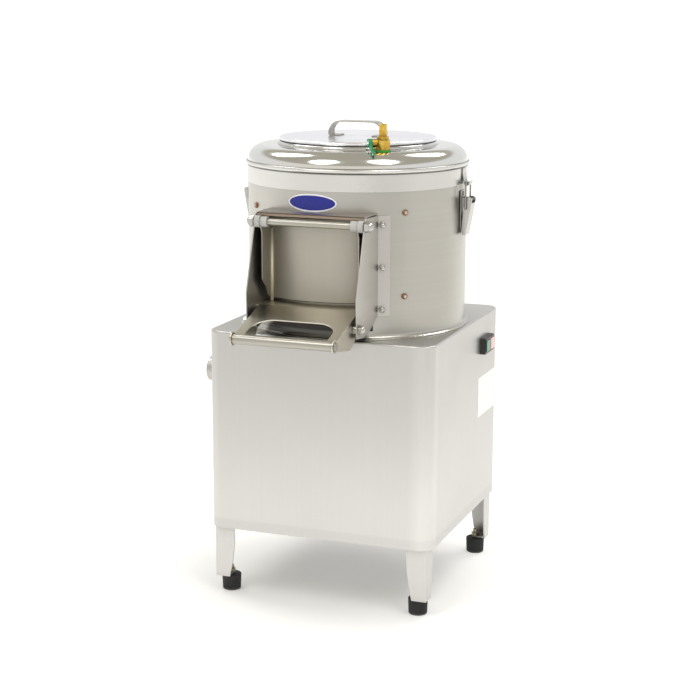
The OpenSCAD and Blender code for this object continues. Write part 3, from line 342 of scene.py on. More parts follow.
def axes(tree, place, vector):
    """The three coordinates of a vector, by name."""
    parts = put(tree, "ShaderNodeSeparateXYZ", place)
    join(tree, vector, parts.inputs[0])
    return parts.outputs


def noise(tree, place, vector, scale, detail=2.0, **settings):
    """A cloud pattern from 0 to 1."""
    node = put(tree, "ShaderNodeTexNoise", place)
    join(tree, vector, node.inputs["Vector"])
    join(tree, scale, node.inputs["Scale"])
    join(tree, detail, node.inputs["Detail"])
    for label, value in settings.items():
        join(tree, value, node.inputs[label])
    return node.outputs["Fac"]


def remap(tree, place, value, low, high, reach=(0.0, 1.0), step="LINEAR"):
    """A value over a reach turned into one from low to high."""
    node = put(tree, "ShaderNodeMapRange", place, interpolation_type=step)
    labels = ("Value", "From Min", "From Max", "To Min", "To Max")
    for label, setting in zip(labels, (value, *reach, low, high)):
        join(tree, setting, node.inputs[label])
    return node.outputs["Result"]


def spread(tree, place, value, reach, result=(0.0, 1.0)):
    """A smooth step from one result to another over a reach of the value."""
    return remap(tree, place, value, *result, reach, "SMOOTHSTEP")


def mix_colour(tree, place, factor, first, second):
    """One colour turned into another by a factor."""
    node = put(tree, "ShaderNodeMix", place, data_type="RGBA")
    join(tree, factor, node.inputs[0])
    join(tree, first, node.inputs[6])
    join(tree, second, node.inputs[7])
    return node.outputs[2]


def rgba(colour, gain=1.0):
    """A colour with a gain, as the sockets take it."""
    return (colour[0] * gain, colour[1] * gain, colour[2] * gain, 1.0)


def new_group(name, inputs, outputs):
    """An empty shader group, its inputs and its outputs, each given as its name and kind."""
    tree = bpy.data.node_groups.new(name, "ShaderNodeTree")
    for sockets, side in ((inputs, "INPUT"), (outputs, "OUTPUT")):
        for label, kind in sockets.items():
            tree.interface.new_socket(label, in_out=side, socket_type="NodeSocket" + kind)
    start = put(tree, "NodeGroupInput", (0, 0))
    end = put(tree, "NodeGroupOutput", (9, 0))
    return tree, start.outputs, end.inputs


def place_group(tree, name, place, **inputs):
    """The outputs of a group that is placed with its inputs joined."""
    node = put(tree, "ShaderNodeGroup", place, node_tree=bpy.data.node_groups[name])
    for label, value in inputs.items():
        join(tree, value, node.inputs[label])
    return node.outputs


# ---- Shared effects ----


def build_sheet_grain():
    """Fine parallel scratches of a belt-brushed sheet, stretched by a scale along each axis."""
    tree, start, end = new_group(
        "sheet grain",
        {"Vector": "Vector", "Stretch": "Vector"},
        {"Grain": "Float", "Streaks": "Float"},
    )
    scaled = vector_node(tree, (1, 0), "MULTIPLY", start["Vector"], start["Stretch"])
    join(tree, noise(tree, (3, 0), scaled, 1.0, 4.0, Roughness=0.6), end["Grain"])
    join(tree, noise(tree, (3, 2), scaled, 0.21), end["Streaks"])


def build_round_place():
    """Place on a turned or rolled piece: arc length, radius and height about the middle."""
    tree, start, end = new_group("round place", {"Vector": "Vector"}, {"Around": "Vector"})
    parts = axes(tree, (1, 0), start["Vector"])
    back = math_node(tree, (2, 1), "MULTIPLY", parts["Y"], -1.0)
    angle = math_node(tree, (3, 0), "ARCTAN2", parts["X"], back)
    arc = math_node(tree, (4, 0), "MULTIPLY", angle, DRUM_RADIUS)
    square_x = math_node(tree, (2, 3), "MULTIPLY", parts["X"], parts["X"])
    square_y = math_node(tree, (2, 4), "MULTIPLY", parts["Y"], parts["Y"])
    total = math_node(tree, (3, 3), "ADD", square_x, square_y)
    whole = put(tree, "ShaderNodeCombineXYZ", (6, 0))
    join(tree, arc, whole.inputs["X"])
    join(tree, math_node(tree, (4, 3), "SQRT", total), whole.inputs["Y"])
    join(tree, parts["Z"], whole.inputs["Z"])
    join(tree, whole.outputs[0], end["Around"])


def build_hand_marks():
    """Soft smears and cleaning marks that change the polish from place to place."""
    tree, start, end = new_group(
        "hand marks", {"Vector": "Vector", "Size": "Float"}, {"Marks": "Float", "Tone": "Float"}
    )
    smear = noise(
        tree, (2, 0), start["Vector"], start["Size"], 5.0, Roughness=0.55, Distortion=0.6
    )
    join(tree, remap(tree, (4, 0), smear, 0.0, 1.0, (0.32, 0.68)), end["Marks"])
    join(tree, noise(tree, (2, 3), start["Vector"], 2.6, 1.0), end["Tone"])


def build_edge_wear():
    """Rounded normal along cut edges, and a mask of the edges worn bright."""
    tree, start, end = new_group(
        "edge wear", {"Radius": "Float"}, {"Edge": "Float", "Normal": "Vector"}
    )
    bevel = put(tree, "ShaderNodeBevel", (2, 0), samples=4)
    join(tree, start["Radius"], bevel.inputs["Radius"])
    surface = put(tree, "ShaderNodeNewGeometry", (2, 2)).outputs["Normal"]
    level = vector_node(tree, (4, 1), "DOT_PRODUCT", bevel.outputs["Normal"], surface)
    join(tree, remap(tree, (6, 1), level, 0.0, 1.0, (0.99, 0.80)), end["Edge"])
    join(tree, bevel.outputs["Normal"], end["Normal"])


def build_settled_dust():
    """Settled dust in a soft cloud pattern: strongest on the floor, none at its top height."""
    tree, start, end = new_group(
        "settled dust", {"Vector": "Vector", "Top": "Float"}, {"Dust": "Float"}
    )
    height = axes(tree, (1, 0), start["Vector"])["Z"]
    settled = remap(tree, (3, 0), height, 1.0, 0.0, (0.0, start["Top"]))
    cloud = noise(tree, (3, 2), start["Vector"], 60.0, 4.0)
    join(tree, math_node(tree, (6, 0), "MULTIPLY", settled, cloud), end["Dust"])


def build_crevice_shade():
    """Shade that gathers in corners, bores and gaps: 1 in the open, lower where walls are near."""
    tree, start, end = new_group(
        "crevice shade", {"Reach": "Float", "Strength": "Float"}, {"Open": "Float"}
    )
    near = put(tree, "ShaderNodeAmbientOcclusion", (2, 0), samples=6)
    join(tree, start["Reach"], near.inputs["Distance"])
    closed = math_node(tree, (4, 0), "SUBTRACT", 1.0, near.outputs["AO"])
    dark = math_node(tree, (5, 0), "MULTIPLY", closed, start["Strength"])
    left = math_node(tree, (6, 0), "SUBTRACT", 1.0, dark)
    join(tree, math_node(tree, (7, 0), "POWER", left, 2.0), end["Open"])


def build_effects():
    """Makes the shader groups that the finishes place."""
    build_sheet_grain()
    build_round_place()
    build_hand_marks()
    build_edge_wear()
    build_settled_dust()
    build_crevice_shade()


# ---- Finishes ----


def start_finish(name):
    """A material with a Principled shader, the object's own coordinates, and its parts."""
    finish = bpy.data.materials.new(name)
    finish.use_nodes = True
    tree = finish.node_tree
    tree.nodes.clear()
    shader = put(tree, "ShaderNodeBsdfPrincipled", (10, 0))
    output = put(tree, "ShaderNodeOutputMaterial", (12, 0))
    join(tree, shader.outputs["BSDF"], output.inputs["Surface"])
    where = put(tree, "ShaderNodeTexCoord", (0, 0)).outputs["Object"]
    return finish, tree, shader.inputs, where


def wear(tree, where, mark_size, edge_radius):
    """Hand marks and worn edges."""
    marks = place_group(tree, "hand marks", (3, 3), Vector=where, Size=mark_size)
    edge = place_group(tree, "edge wear", (3, 6), Radius=edge_radius)
    return marks, edge


def raise_skin(tree, shader, height, strength, depth, normal=None):
    """Raises the surface by a pattern, over a normal that rounds its edges."""
    bump = put(tree, "ShaderNodeBump", (8, 5))
    join(tree, strength, bump.inputs["Strength"])
    join(tree, depth, bump.inputs["Distance"])
    join(tree, height, bump.inputs["Height"])
    join(tree, normal, bump.inputs["Normal"])
    join(tree, bump.outputs["Normal"], shader["Normal"])


def steel_finish(
    name, tone, roughness, stretch,
    rolled=False, grain_depth=0.000012, tone_spread=0.10, rough_spread=0.10, anisotropy=0.35,
    edge_radius=0.0006, bands=None, rough_bands=None, crevice=None,
):
    """Stainless steel with grain, marks and worn edges; rolled grain runs round the drum's axis."""
    finish, tree, shader, where = start_finish(name)
    place = where
    if rolled:
        middle = vector_node(tree, (1, 2), "SUBTRACT", where, (DRUM_X, DRUM_Y, 0.0))
        place = place_group(tree, "round place", (2, 2), Vector=middle)["Around"]
    grain = place_group(tree, "sheet grain", (3, 0), Vector=place, Stretch=stretch)
    marks, edge = wear(tree, where, 6.5, edge_radius)
    shade = remap(tree, (5, 0), grain["Streaks"], 1.0 - tone_spread, 1.0 + tone_spread)
    drift = remap(tree, (5, 2), marks["Tone"], 0.95, 1.05)
    gain = math_node(tree, (6, 1), "MULTIPLY", shade, drift)
    # Painted light and shade: bands lighten or darken the tone by place, and the crevice shade darkens
    # it where walls are near
    if bands:
        gain = math_node(tree, (7, 2), "MULTIPLY", gain, bands(tree, where))
    if crevice:
        reach, strength = crevice
        if callable(strength):
            strength = strength(tree, where)
        corner = place_group(tree, "crevice shade", (6, 8), Reach=reach, Strength=strength)
        gain = math_node(tree, (7, 3), "MULTIPLY", gain, corner["Open"])
    shaded = vector_node(tree, (7, 0), "SCALE", tuple(tone), gain)
    worn = mix_colour(tree, (8, 0), edge["Edge"], shaded, rgba(tone, 1.22))
    join(tree, worn, shader["Base Color"])
    smooth = roughness * (1.0 - rough_spread)
    dull = roughness * (1.0 + rough_spread)
    rough = remap(tree, (6, 4), marks["Marks"], smooth, dull)
    if rough_bands:
        rough = math_node(tree, (7, 5), "MULTIPLY", rough, rough_bands(tree, where))
    join(tree, rough, shader["Roughness"])
    raise_skin(tree, shader, grain["Grain"], 0.35, grain_depth, edge["Normal"])
    join(tree, 1.0, shader["Metallic"])
    join(tree, anisotropy, shader["Anisotropic"])
    return finish


def fitting_finish(name, tone, roughness, fineness, **settings):
    """Steel of a small turned or drawn fitting, whose grain has no direction."""
    return steel_finish(name, tone, roughness, (fineness,) * 3, anisotropy=0.0, **settings)


def cast_finish(name, tone, roughness, grain_size, depth, metallic=1.0):
    """Cast or painted metal with a sandy skin, darker in its hollows."""
    finish, tree, shader, where = start_finish(name)
    sand = noise(tree, (2, 0), where, grain_size, 6.0)
    marks, edge = wear(tree, where, 18.0, 0.0008)
    colour = mix_colour(tree, (5, 0), sand, rgba(tone, 0.75), rgba(tone, 1.2))
    worn = mix_colour(tree, (7, 0), edge["Edge"], colour, rgba(tone, 1.6))
    join(tree, worn, shader["Base Color"])
    rough = remap(tree, (7, 3), marks["Marks"], roughness * 0.85, roughness * 1.15)
    join(tree, rough, shader["Roughness"])
    raise_skin(tree, shader, sand, 0.6, depth, edge["Normal"])
    join(tree, metallic, shader["Metallic"])
    return finish


def grit_finish():
    """Silicon carbide grit bonded in a dark resin."""
    finish, tree, shader, where = start_finish("silicon carbide grit")
    cells = put(tree, "ShaderNodeTexVoronoi", (2, 0), feature="F1")
    join(tree, where, cells.inputs["Vector"])
    join(tree, 520.0, cells.inputs["Scale"])
    grains = cells.outputs["Distance"]
    sand = noise(tree, (2, 2), where, 140.0, 5.0)
    marks = place_group(tree, "hand marks", (2, 4), Vector=where, Size=10.0)["Marks"]
    base = mix_colour(tree, (5, 1), marks, (0.10, 0.095, 0.09, 1), (0.20, 0.19, 0.18, 1))
    shaded = vector_node(tree, (6, 0), "SCALE", base, remap(tree, (4, 0), grains, 1.6, 0.25))
    join(tree, shaded, shader["Base Color"])
    join(tree, remap(tree, (6, 3), sand, 0.45, 0.95), shader["Roughness"])
    height = math_node(tree, (5, 4), "ADD", grains, sand)
    raise_skin(tree, shader, height, 0.9, 0.0012)
    return finish


def moulded_finish(name, tone, roughness, depth=0.00008, dust_top=0.0, coat=0.0, drift=0.14):
    """Rubber or plastic: fine moulded texture, tone drift, and dust up to a height."""
    finish, tree, shader, where = start_finish(name)
    skin = noise(tree, (2, 0), where, 220.0, 3.0)
    marks, edge = wear(tree, where, 24.0, 0.0007)
    colour = mix_colour(tree, (5, 0), marks["Marks"], rgba(tone, 1 - drift), rgba(tone, 1 + drift))
    if dust_top:
        dust = place_group(tree, "settled dust", (3, 8), Vector=where, Top=dust_top)["Dust"]
        colour = mix_colour(tree, (6, 2), dust, colour, (0.30, 0.28, 0.26, 1))
    worn = mix_colour(tree, (7, 0), edge["Edge"], colour, rgba(tone, 1.5))
    join(tree, worn, shader["Base Color"])
    rough = remap(tree, (7, 3), marks["Marks"], roughness * 0.85, roughness * 1.2)
    join(tree, rough, shader["Roughness"])
    raise_skin(tree, shader, skin, 0.4, depth, edge["Normal"])
    join(tree, coat, shader["Coat Weight"])
    return finish


def brass_finish(name, tone, tarnish):
    """Turned brass with tool rings, a little tarnish, and painted shade in its bore and corners."""
    finish, tree, shader, where = start_finish(name)
    rings = place_group(tree, "sheet grain", (2, 0), Vector=where, Stretch=(30.0, 30.0, 1800.0))
    marks, edge = wear(tree, where, 70.0, 0.0006)
    colour = mix_colour(tree, (5, 0), marks["Marks"], rgba(tone), rgba(tarnish))
    worn = mix_colour(tree, (7, 0), edge["Edge"], colour, rgba(tone, 1.25))
    # Painted shade: the crevice shade darkens the tone in the bore and corners
    corner = place_group(tree, "crevice shade", (6, 8), Reach=0.012, Strength=0.85)
    shaded = vector_node(tree, (8, 0), "SCALE", worn, corner["Open"])
    join(tree, shaded, shader["Base Color"])
    join(tree, remap(tree, (7, 3), marks["Marks"], 0.22, 0.42), shader["Roughness"])
    raise_skin(tree, shader, rings["Grain"], 0.5, 0.00002, edge["Normal"])
    join(tree, 1.0, shader["Metallic"])
    return finish


def by_height(reach, result):
    """A maker of a value that turns from one to another between two heights."""

    def value(tree, where):
        return spread(tree, (3, 8), axes(tree, (1, 8), where)["Z"], reach, result)

    return value


def groove(tree, place, height, middle, half, floor):
    """1 away from a height, falling to a floor value at it."""
    below = spread(tree, place, height, (middle - half, middle), (1.0, floor))
    above = spread(tree, (place[0], place[1] + 1), height, (middle, middle + half), (floor, 1.0))
    return math_node(tree, (place[0] + 1, place[1]), "MAXIMUM", below, above)


def lid_ring_painted_shade(tree, where):
    """Painted shade: skirt a little darker than the dome, and a dark line of shade over and under the
    rolled bead.
    """
    height = axes(tree, (1, 8), where)["Z"]
    over = groove(tree, (3, 10), height, BEAD_TOP, 0.0015, 0.30)
    under = groove(tree, (3, 13), height, BEAD_FOOT, 0.0026, 0.12)
    skirt = by_height(SKIRT_END, (0.96, 1.0))(tree, where)
    return product(tree, (5, 11), over, under, skirt)


def cabinet_painted_light(tree, where):
    """Painted light and shade: walls lighter downwards, but for their darker lowest band, with a
    lighter top and a painted highlight along the front right corner.
    """
    rising = by_height(WALL_RISE, (1.04, 0.93))(tree, where)
    foot = by_height(WALL_FOOT, (0.93, 1.0))(tree, where)
    top = by_height(TOP_SHEET, (1.0, 1.12))(tree, where)
    low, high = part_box("cabinet_shell")
    corner = high[0] - low[1]
    parts = axes(tree, (1, 18), where)
    across = math_node(tree, (2, 18), "SUBTRACT", parts["X"], parts["Y"])
    reach = (corner - CORNER_PAINTED_HIGHLIGHT[0], corner - CORNER_PAINTED_HIGHLIGHT[1])
    # Painted highlight along the rounded front right corner
    fold = spread(tree, (3, 18), across, reach, (1.0, 1.12))
    return product(tree, (6, 14), rising, foot, top, fold)


def chute_foot_painted_shade(inner, outer):
    """A maker of a value that is inner on the drum's foot below the chute, and outer elsewhere, for the
    shade painted there.
    """
    flatten = Vector((1.0, 1.0, CHUTE_FOOT_FLATNESS))

    def value(tree, where):
        flat = vector_node(tree, (1, 16), "MULTIPLY", where, flatten)
        away = vector_node(tree, (2, 16), "DISTANCE", flat, flatten * Vector(CHUTE_FOOT))
        return spread(tree, (3, 16), away, CHUTE_FOOT_REACH, (inner, outer))

    return value


def dress(finish, *nodes):
    """Gives CAD nodes one finish in every material slot."""
    for name in nodes:
        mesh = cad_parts[name].data
        if not mesh.materials:
            mesh.materials.append(finish)
        for slot in range(len(mesh.materials)):
            mesh.materials[slot] = finish


# ---- Making of new pieces ----


def turned_onto_drum(bm, angle, height, lift):
    """Wraps a piece drawn flat in the XY plane (Z outwards) onto the drum's wall."""
    for vertex in bm.verts:
        across, up, out = vertex.co
        turn = angle + across / DRUM_RADIUS
        reach = DRUM_RADIUS + lift + out
        vertex.co = (
            DRUM_X + reach * math.sin(turn),
            DRUM_Y - reach * math.cos(turn),
            height + up,
        )


def add_object(name, data):
    """A new object in the scene."""
    added = bpy.data.objects.new(name, data)
    bpy.context.scene.collection.objects.link(added)
    return added


def add_mesh(bm, name, finish):
    """A new object from a bmesh, in one finish."""
    mesh = bpy.data.meshes.new(name)
    bm.to_mesh(mesh)
    bm.free()
    mesh.materials.append(finish)
    return add_object(name, mesh)


def finish_piece(bm, name, body, finish, smooth=True):
    """Turns a bmesh into a piece that rides on a body."""
    bmesh.ops.remove_doubles(bm, verts=bm.verts, dist=1e-7)
    bmesh.ops.recalc_face_normals(bm, faces=bm.faces)
    piece = add_mesh(bm, name, finish)
    for face in piece.data.polygons:
        face.use_smooth = smooth
    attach(piece, body)


def extruded(bm, faces, lift):
    """Pulls faces up along Z and returns the new top faces."""
    grown = bmesh.ops.extrude_face_region(bm, geom=faces)
    verts = [item for item in grown["geom"] if isinstance(item, bmesh.types.BMVert)]
    bmesh.ops.translate(bm, verts=verts, vec=(0, 0, lift))
    return [item for item in grown["geom"] if isinstance(item, bmesh.types.BMFace)]


def cut_in_strips(bm, reach, width=0.003):
    """Cuts a flat piece across X, so that it can bend round the drum."""
    count = int(reach / width)
    for step in range(-count, count + 1):
        bmesh.ops.bisect_plane(
            bm,
            geom=list(bm.verts) + list(bm.edges) + list(bm.faces),
            plane_co=(step * width, 0, 0),
            plane_no=(1, 0, 0),
        )


def flat_plate(width, height, thickness, rounding, columns, rows):
    """A plate in the XY plane, cut in columns and rows, with the rim of its top rounded."""
    bm = bmesh.new()
    bmesh.ops.create_grid(bm, x_segments=columns, y_segments=rows, size=0.5)
    bmesh.ops.scale(bm, verts=bm.verts, vec=(width, height, 1.0))
    top = extruded(bm, list(bm.faces), thickness)
    edges = {edge for face in top for edge in face.edges}
    rim = [edge for edge in edges if not all(face in top for face in edge.link_faces)]
    bmesh.ops.bevel(
        bm, geom=rim, offset=rounding, segments=2, profile=0.5, affect="EDGES", material=-1
    )
    return bm


def make_door_folds():
    """Rounded upright folds where the door's face turns into its side plates, in a pale tone that
    paints their highlight.
    """
    low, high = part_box("chute_door")
    bm = bmesh.new()
    for side, edge_x in ((-1, low[0]), (1, high[0])):
        made = bmesh.ops.create_circle(bm, cap_ends=True, segments=24, radius=FOLD_RADIUS)
        top = extruded(bm, list(made["verts"][0].link_faces), FOLD_TOP - FOLD_LOW)
        verts = made["verts"] + [vertex for face in top for vertex in face.verts]
        reach = abs(edge_x - DRUM_X) - FOLD_INSET
        back = math.sqrt(DOOR_FACE_RADIUS**2 - reach**2)
        place = (DRUM_X + side * reach, DRUM_Y - back - FOLD_PROUD, FOLD_LOW)
        bmesh.ops.translate(bm, verts=verts, vec=place)
    # Painted highlight: a pale, warm, dull tone for the light line along each fold
    pale_finish = steel_finish(
        "fold painted highlight", (1.0, 0.95, 0.80), 0.6, (420.0, 420.0, 9.0),
        anisotropy=0.0, tone_spread=0.03, grain_depth=0.000003, edge_radius=0.0003,
    )
    finish_piece(bm, "door_folds", "door", pale_finish)


def make_hood_lip():
    """Turned-down lip along the front edge of the hood, in a dark brown tone of painted shade, darkest
    at its upper edge.
    """
    low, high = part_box("chute_hood")
    width = high[0] - low[0] - LIP_MARGIN
    bm = flat_plate(width, LIP_DROP, LIP_THICKNESS, LIP_ROUNDING, 2, 2)
    bmesh.ops.rotate(bm, verts=bm.verts, matrix=Matrix.Rotation(QUARTER_TURN, 3, "X"))
    place = ((low[0] + high[0]) / 2, low[1] - SHEET_GAP, high[2] - LIP_DROP / 2)
    bmesh.ops.translate(bm, verts=bm.verts, vec=place)
    shade = (high[2] - LIP_SHADE[0], high[2] - LIP_SHADE[1])
    # Painted shade: a dark brown tone, darker still along the upper edge
    lip = steel_finish(
        "hood lip in painted shade", (0.37, 0.29, 0.23), 0.40, LEVEL_GRAIN,
        tone_spread=0.03, anisotropy=0.0, edge_radius=0.0003, bands=by_height(shade, (1.0, 0.35)),
    )
    finish_piece(bm, "hood_lip", "machine", lip)


def make_shade_apron():
    """Near-black apron on the drum, between the sill and the cabinet: a dark sheet that paints the
    shade there.
    """
    width = 2 * DRUM_RADIUS * APRON_HALF_ANGLE
    bm = flat_plate(width, APRON_TOP - APRON_LOW, APRON_THICKNESS, APRON_ROUNDING, 60, 1)
    turned_onto_drum(bm, 0.0, (APRON_TOP + APRON_LOW) / 2, SHEET_GAP)
    # Painted shade: a near-black sheet put where there is only shade under the sill
    rubber = moulded_finish("apron painted shade", (0.016, 0.012, 0.009), 0.6)
    finish_piece(bm, "painted_shade_apron", "machine", rubber)


# ---- Operators ----


class PEELER_OT_cabinet(bpy.types.Operator):
    """Brushed sheet of the cabinet, rear panel, pan and legs, with screws, feet and gland"""

    bl_idname = "peeler.cabinet"
    bl_label = "Cabinet and legs"

    def execute(self, context):
        steel = context.scene.peeler_steel
        sheet = steel_finish(
            "brushed cabinet sheet", steel.sheet_tone, steel.sheet_roughness, UPRIGHT_GRAIN,
            tone_spread=0.018, grain_depth=FINE_DEPTH, edge_radius=steel.edge_radius,
            # Painted shade: the crevice shade grows much stronger on the cabinet top under the lever
            # and chute; the bands paint light and shade on the walls
            bands=cabinet_painted_light, crevice=(0.07, chute_foot_painted_shade(0.97, 0.12)),
        )
        # Painted light: the legs take a slightly lighter copy of the sheet tone
        leg = steel_finish(
            "leg sheet in painted light", rgba(steel.sheet_tone, 1.03)[:3], steel.sheet_roughness * 1.05,
            (1400.0, 1400.0, 14.0),
            tone_spread=0.03, grain_depth=0.000006, edge_radius=steel.edge_radius,
            crevice=(0.04, 0.35),
        )
        dress(sheet, "cabinet_shell", "rear_panel", "base_pan")
        dress(leg, "legs")
        dress(fitting_finish("zinc bright screw", (0.66, 0.65, 0.63), 0.26, 400.0), "panel_screws")
        dress(fitting_finish("passivated stud", (0.30, 0.26, 0.19), 0.32, 400.0), "foot_studs")
        rubber = moulded_finish("foot rubber", (0.011, 0.011, 0.012), 0.66, dust_top=0.004)
        dress(rubber, "rubber_feet")
        dress(moulded_finish("gland nylon", (0.022, 0.022, 0.024), 0.45), "cable_gland")
        return {"FINISHED"}


class PEELER_OT_drum(bpy.types.Operator):
    """Rolled sheet of the drum, its floor, liner, screws and drain"""

    bl_idname = "peeler.drum"
    bl_label = "Drum and drain"

    def execute(self, context):
        wall = steel_finish(
            "rolled drum sheet", context.scene.peeler_steel.drum_tone, 0.30, (11.0, 11.0, 900.0),
            # Painted shade: the drum's foot below the chute is darkened, and its crevice shade made
            # stronger there
            rolled=True, tone_spread=0.04, grain_depth=0.000008, bands=chute_foot_painted_shade(0.22, 1.0),
            crevice=(0.05, chute_foot_painted_shade(0.8, 0.15)),
        )
        dress(wall, "drum_shell", "drum_floor")
        dress(grit_finish(), "drum_liner", "disc_grit")
        dress(fitting_finish("bronzed screw head", (0.34, 0.19, 0.12), 0.30, 500.0), "liner_screws")
        dress(moulded_finish("drain hose rubber", (0.016, 0.016, 0.017), 0.55), "drain_elbow")
        pipe = steel_finish(
            "drawn drain pipe", (0.52, 0.51, 0.50), 0.42, (30.0, 500.0, 500.0), anisotropy=0.2
        )
        dress(pipe, "drain_spigot")
        return {"FINISHED"}


class PEELER_OT_lid(bpy.types.Operator):
    """Polished lid ring, lid, handle, rods and gasket"""

    bl_idname = "peeler.lid"
    bl_label = "Lid ring and lid"

    def execute(self, context):
        ring = steel_finish(
            "polished lid ring", context.scene.peeler_steel.polish_tone, 0.115, (6.0, 500.0, 500.0),
            rolled=True, tone_spread=0.02, rough_spread=0.3, grain_depth=0.000002, anisotropy=0.2,
            bands=lid_ring_painted_shade, rough_bands=by_height(DOME_FOOT, (2.7, 1.0)),
            crevice=(0.006, 0.4),
        )
        dress(ring, "lid_ring")
        plate = steel_finish(
            "spun lid plate", (0.95, 0.95, 1.0), 0.24, (6.0, 900.0, 900.0),
            rolled=True, tone_spread=0.015, grain_depth=0.000002, crevice=(0.008, 0.5),
        )
        dress(plate, "lid_disc")
        strap = steel_finish(
            "polished strap", (0.44, 0.43, 0.39), 0.22, (30.0, 700.0, 30.0),
            tone_spread=0.05, anisotropy=0.2, crevice=(0.02, 0.4),
        )
        dress(strap, "lid_handle")
        rod = steel_finish(
            "drawn rod", (0.46, 0.445, 0.395), 0.34, (40.0, 700.0, 700.0),
            tone_spread=0.04, grain_depth=0.000004, anisotropy=0.2, crevice=(0.02, 0.4),
        )
        dress(rod, "hinge_rod", "handle_bar")
        dress(moulded_finish("lid gasket rubber", (0.03, 0.03, 0.03), 0.6), "lid_gasket")
        return {"FINISHED"}


def cheek_finish(name, tone):
    """Brushed sheet of a cheek, with its grain from front to back."""
    return steel_finish(
        name, tone, 0.32, CHEEK_GRAIN, tone_spread=0.04, grain_depth=FINE_DEPTH, crevice=(0.05, 0.16)
    )


class PEELER_OT_chute(bpy.types.Operator):
    """Cheeks, hood, door, lever, folds, lip and apron, and their fasteners"""

    bl_idname = "peeler.chute"
    bl_label = "Discharge chute"

    def execute(self, context):
        sheet_tone = context.scene.peeler_steel.sheet_tone
        # Painted shade: the left cheek and the mouth frame take a darker copy of the sheet tone; the
        # right cheek keeps about the sheet's own tone
        cheek = cheek_finish("chute sheet in painted shade", rgba(sheet_tone, 0.82)[:3])
        dress(cheek, "chute_cheek_left", "mouth_frame")
        dress(cheek_finish("brushed right cheek", (0.62, 0.60, 0.57)), "chute_cheek_right")
        # Painted light: a light, warm olive tone brightens the shaded floor of the chute
        floor = steel_finish(
            "chute floor painted light", (0.80, 0.75, 0.62), 0.42, LEVEL_GRAIN, tone_spread=0.04, anisotropy=0.0
        )
        dress(floor, "chute_floor")
        # Painted shade: a darker, warmer copy of the sheet tone on the hood
        hood = steel_finish(
            "hood sheet in painted shade", (0.50, 0.472, 0.435), 0.34, LEVEL_GRAIN,
            tone_spread=0.03, grain_depth=FINE_DEPTH,
        )
        dress(hood, "chute_hood")
        make_hood_lip()
        # Painted shade: a darker, warmer copy of the sheet tone on the door
        door = steel_finish(
            "door sheet in painted shade", (0.485, 0.462, 0.405), 0.44, (420.0, 9.0, 9.0),
            rolled=True, anisotropy=0.0, tone_spread=0.03, grain_depth=0.000003, edge_radius=0.0003,
            crevice=(0.05, 0.15),
        )
        dress(door, "chute_door")
        # Painted reflection: a warm olive tint for the warm parts the lever plate mirrors
        lever = steel_finish(
            "lever plate with painted reflection", (0.64, 0.605, 0.52), 0.32, LEVEL_GRAIN,
            tone_spread=0.04, grain_depth=FINE_DEPTH, crevice=(0.04, 0.2),
        )
        dress(lever, "lever_plate")
        make_door_folds()
        make_shade_apron()
        chrome = fitting_finish(
            "chromed cap nut", (0.56, 0.55, 0.53), 0.22, 300.0,
            tone_spread=0.03, crevice=(0.006, 0.5),
        )
        dress(chrome, "cap_nuts", "cheek_bolts", "pivot_bolts")
        nylon = moulded_finish("turned nylon", (0.46, 0.47, 0.45), 0.45, depth=0.00002)
        dress(nylon, "nylon_bushes")
        dress(moulded_finish("sealing rubber", (0.035, 0.035, 0.036), 0.6), "mouth_seal")
        return {"FINISHED"}


class PEELER_OT_latches(bpy.types.Operator):
    """Hooks, bases, levers and bails of the two latches"""

    bl_idname = "peeler.latches"
    bl_label = "Toggle latches"

    def execute(self, context):
        pressed = steel_finish(
            "pressed latch steel", (0.60, 0.59, 0.57), 0.28, (60.0, 60.0, 500.0),
            tone_spread=0.04, crevice=(0.012, 0.7),
        )
        dress(pressed, "latch_keepers", "latch_bases", "latch_lever_left", "latch_lever_right")
        wire = fitting_finish("latch wire", (0.40, 0.38, 0.35), 0.26, 400.0, crevice=(0.006, 0.6))
        dress(wire, "latch_bail_left", "latch_bail_right")
        return {"FINISHED"}


class PEELER_OT_valve(bpy.types.Operator):
    """Brass water valve with its green lever and sealing ring, and its chromed ball"""

    bl_idname = "peeler.valve"
    bl_label = "Water valve"

    def execute(self, context):
        dress(brass_finish("turned brass", (0.80, 0.60, 0.13), (0.62, 0.30, 0.03)), "valve_body")
        green = moulded_finish("green moulding", (0.0, 0.24, 0.085), 0.4, depth=0.00003, coat=0.15)
        dress(green, "valve_lever")
        dress(moulded_finish("green sealing ring", (0.02, 0.30, 0.03), 0.45), "valve_seal")
        chrome = fitting_finish(
            "chromed valve ball", (0.76, 0.76, 0.76), 0.07, 200.0, tone_spread=0.02
        )
        dress(chrome, "valve_ball")
        return {"FINISHED"}


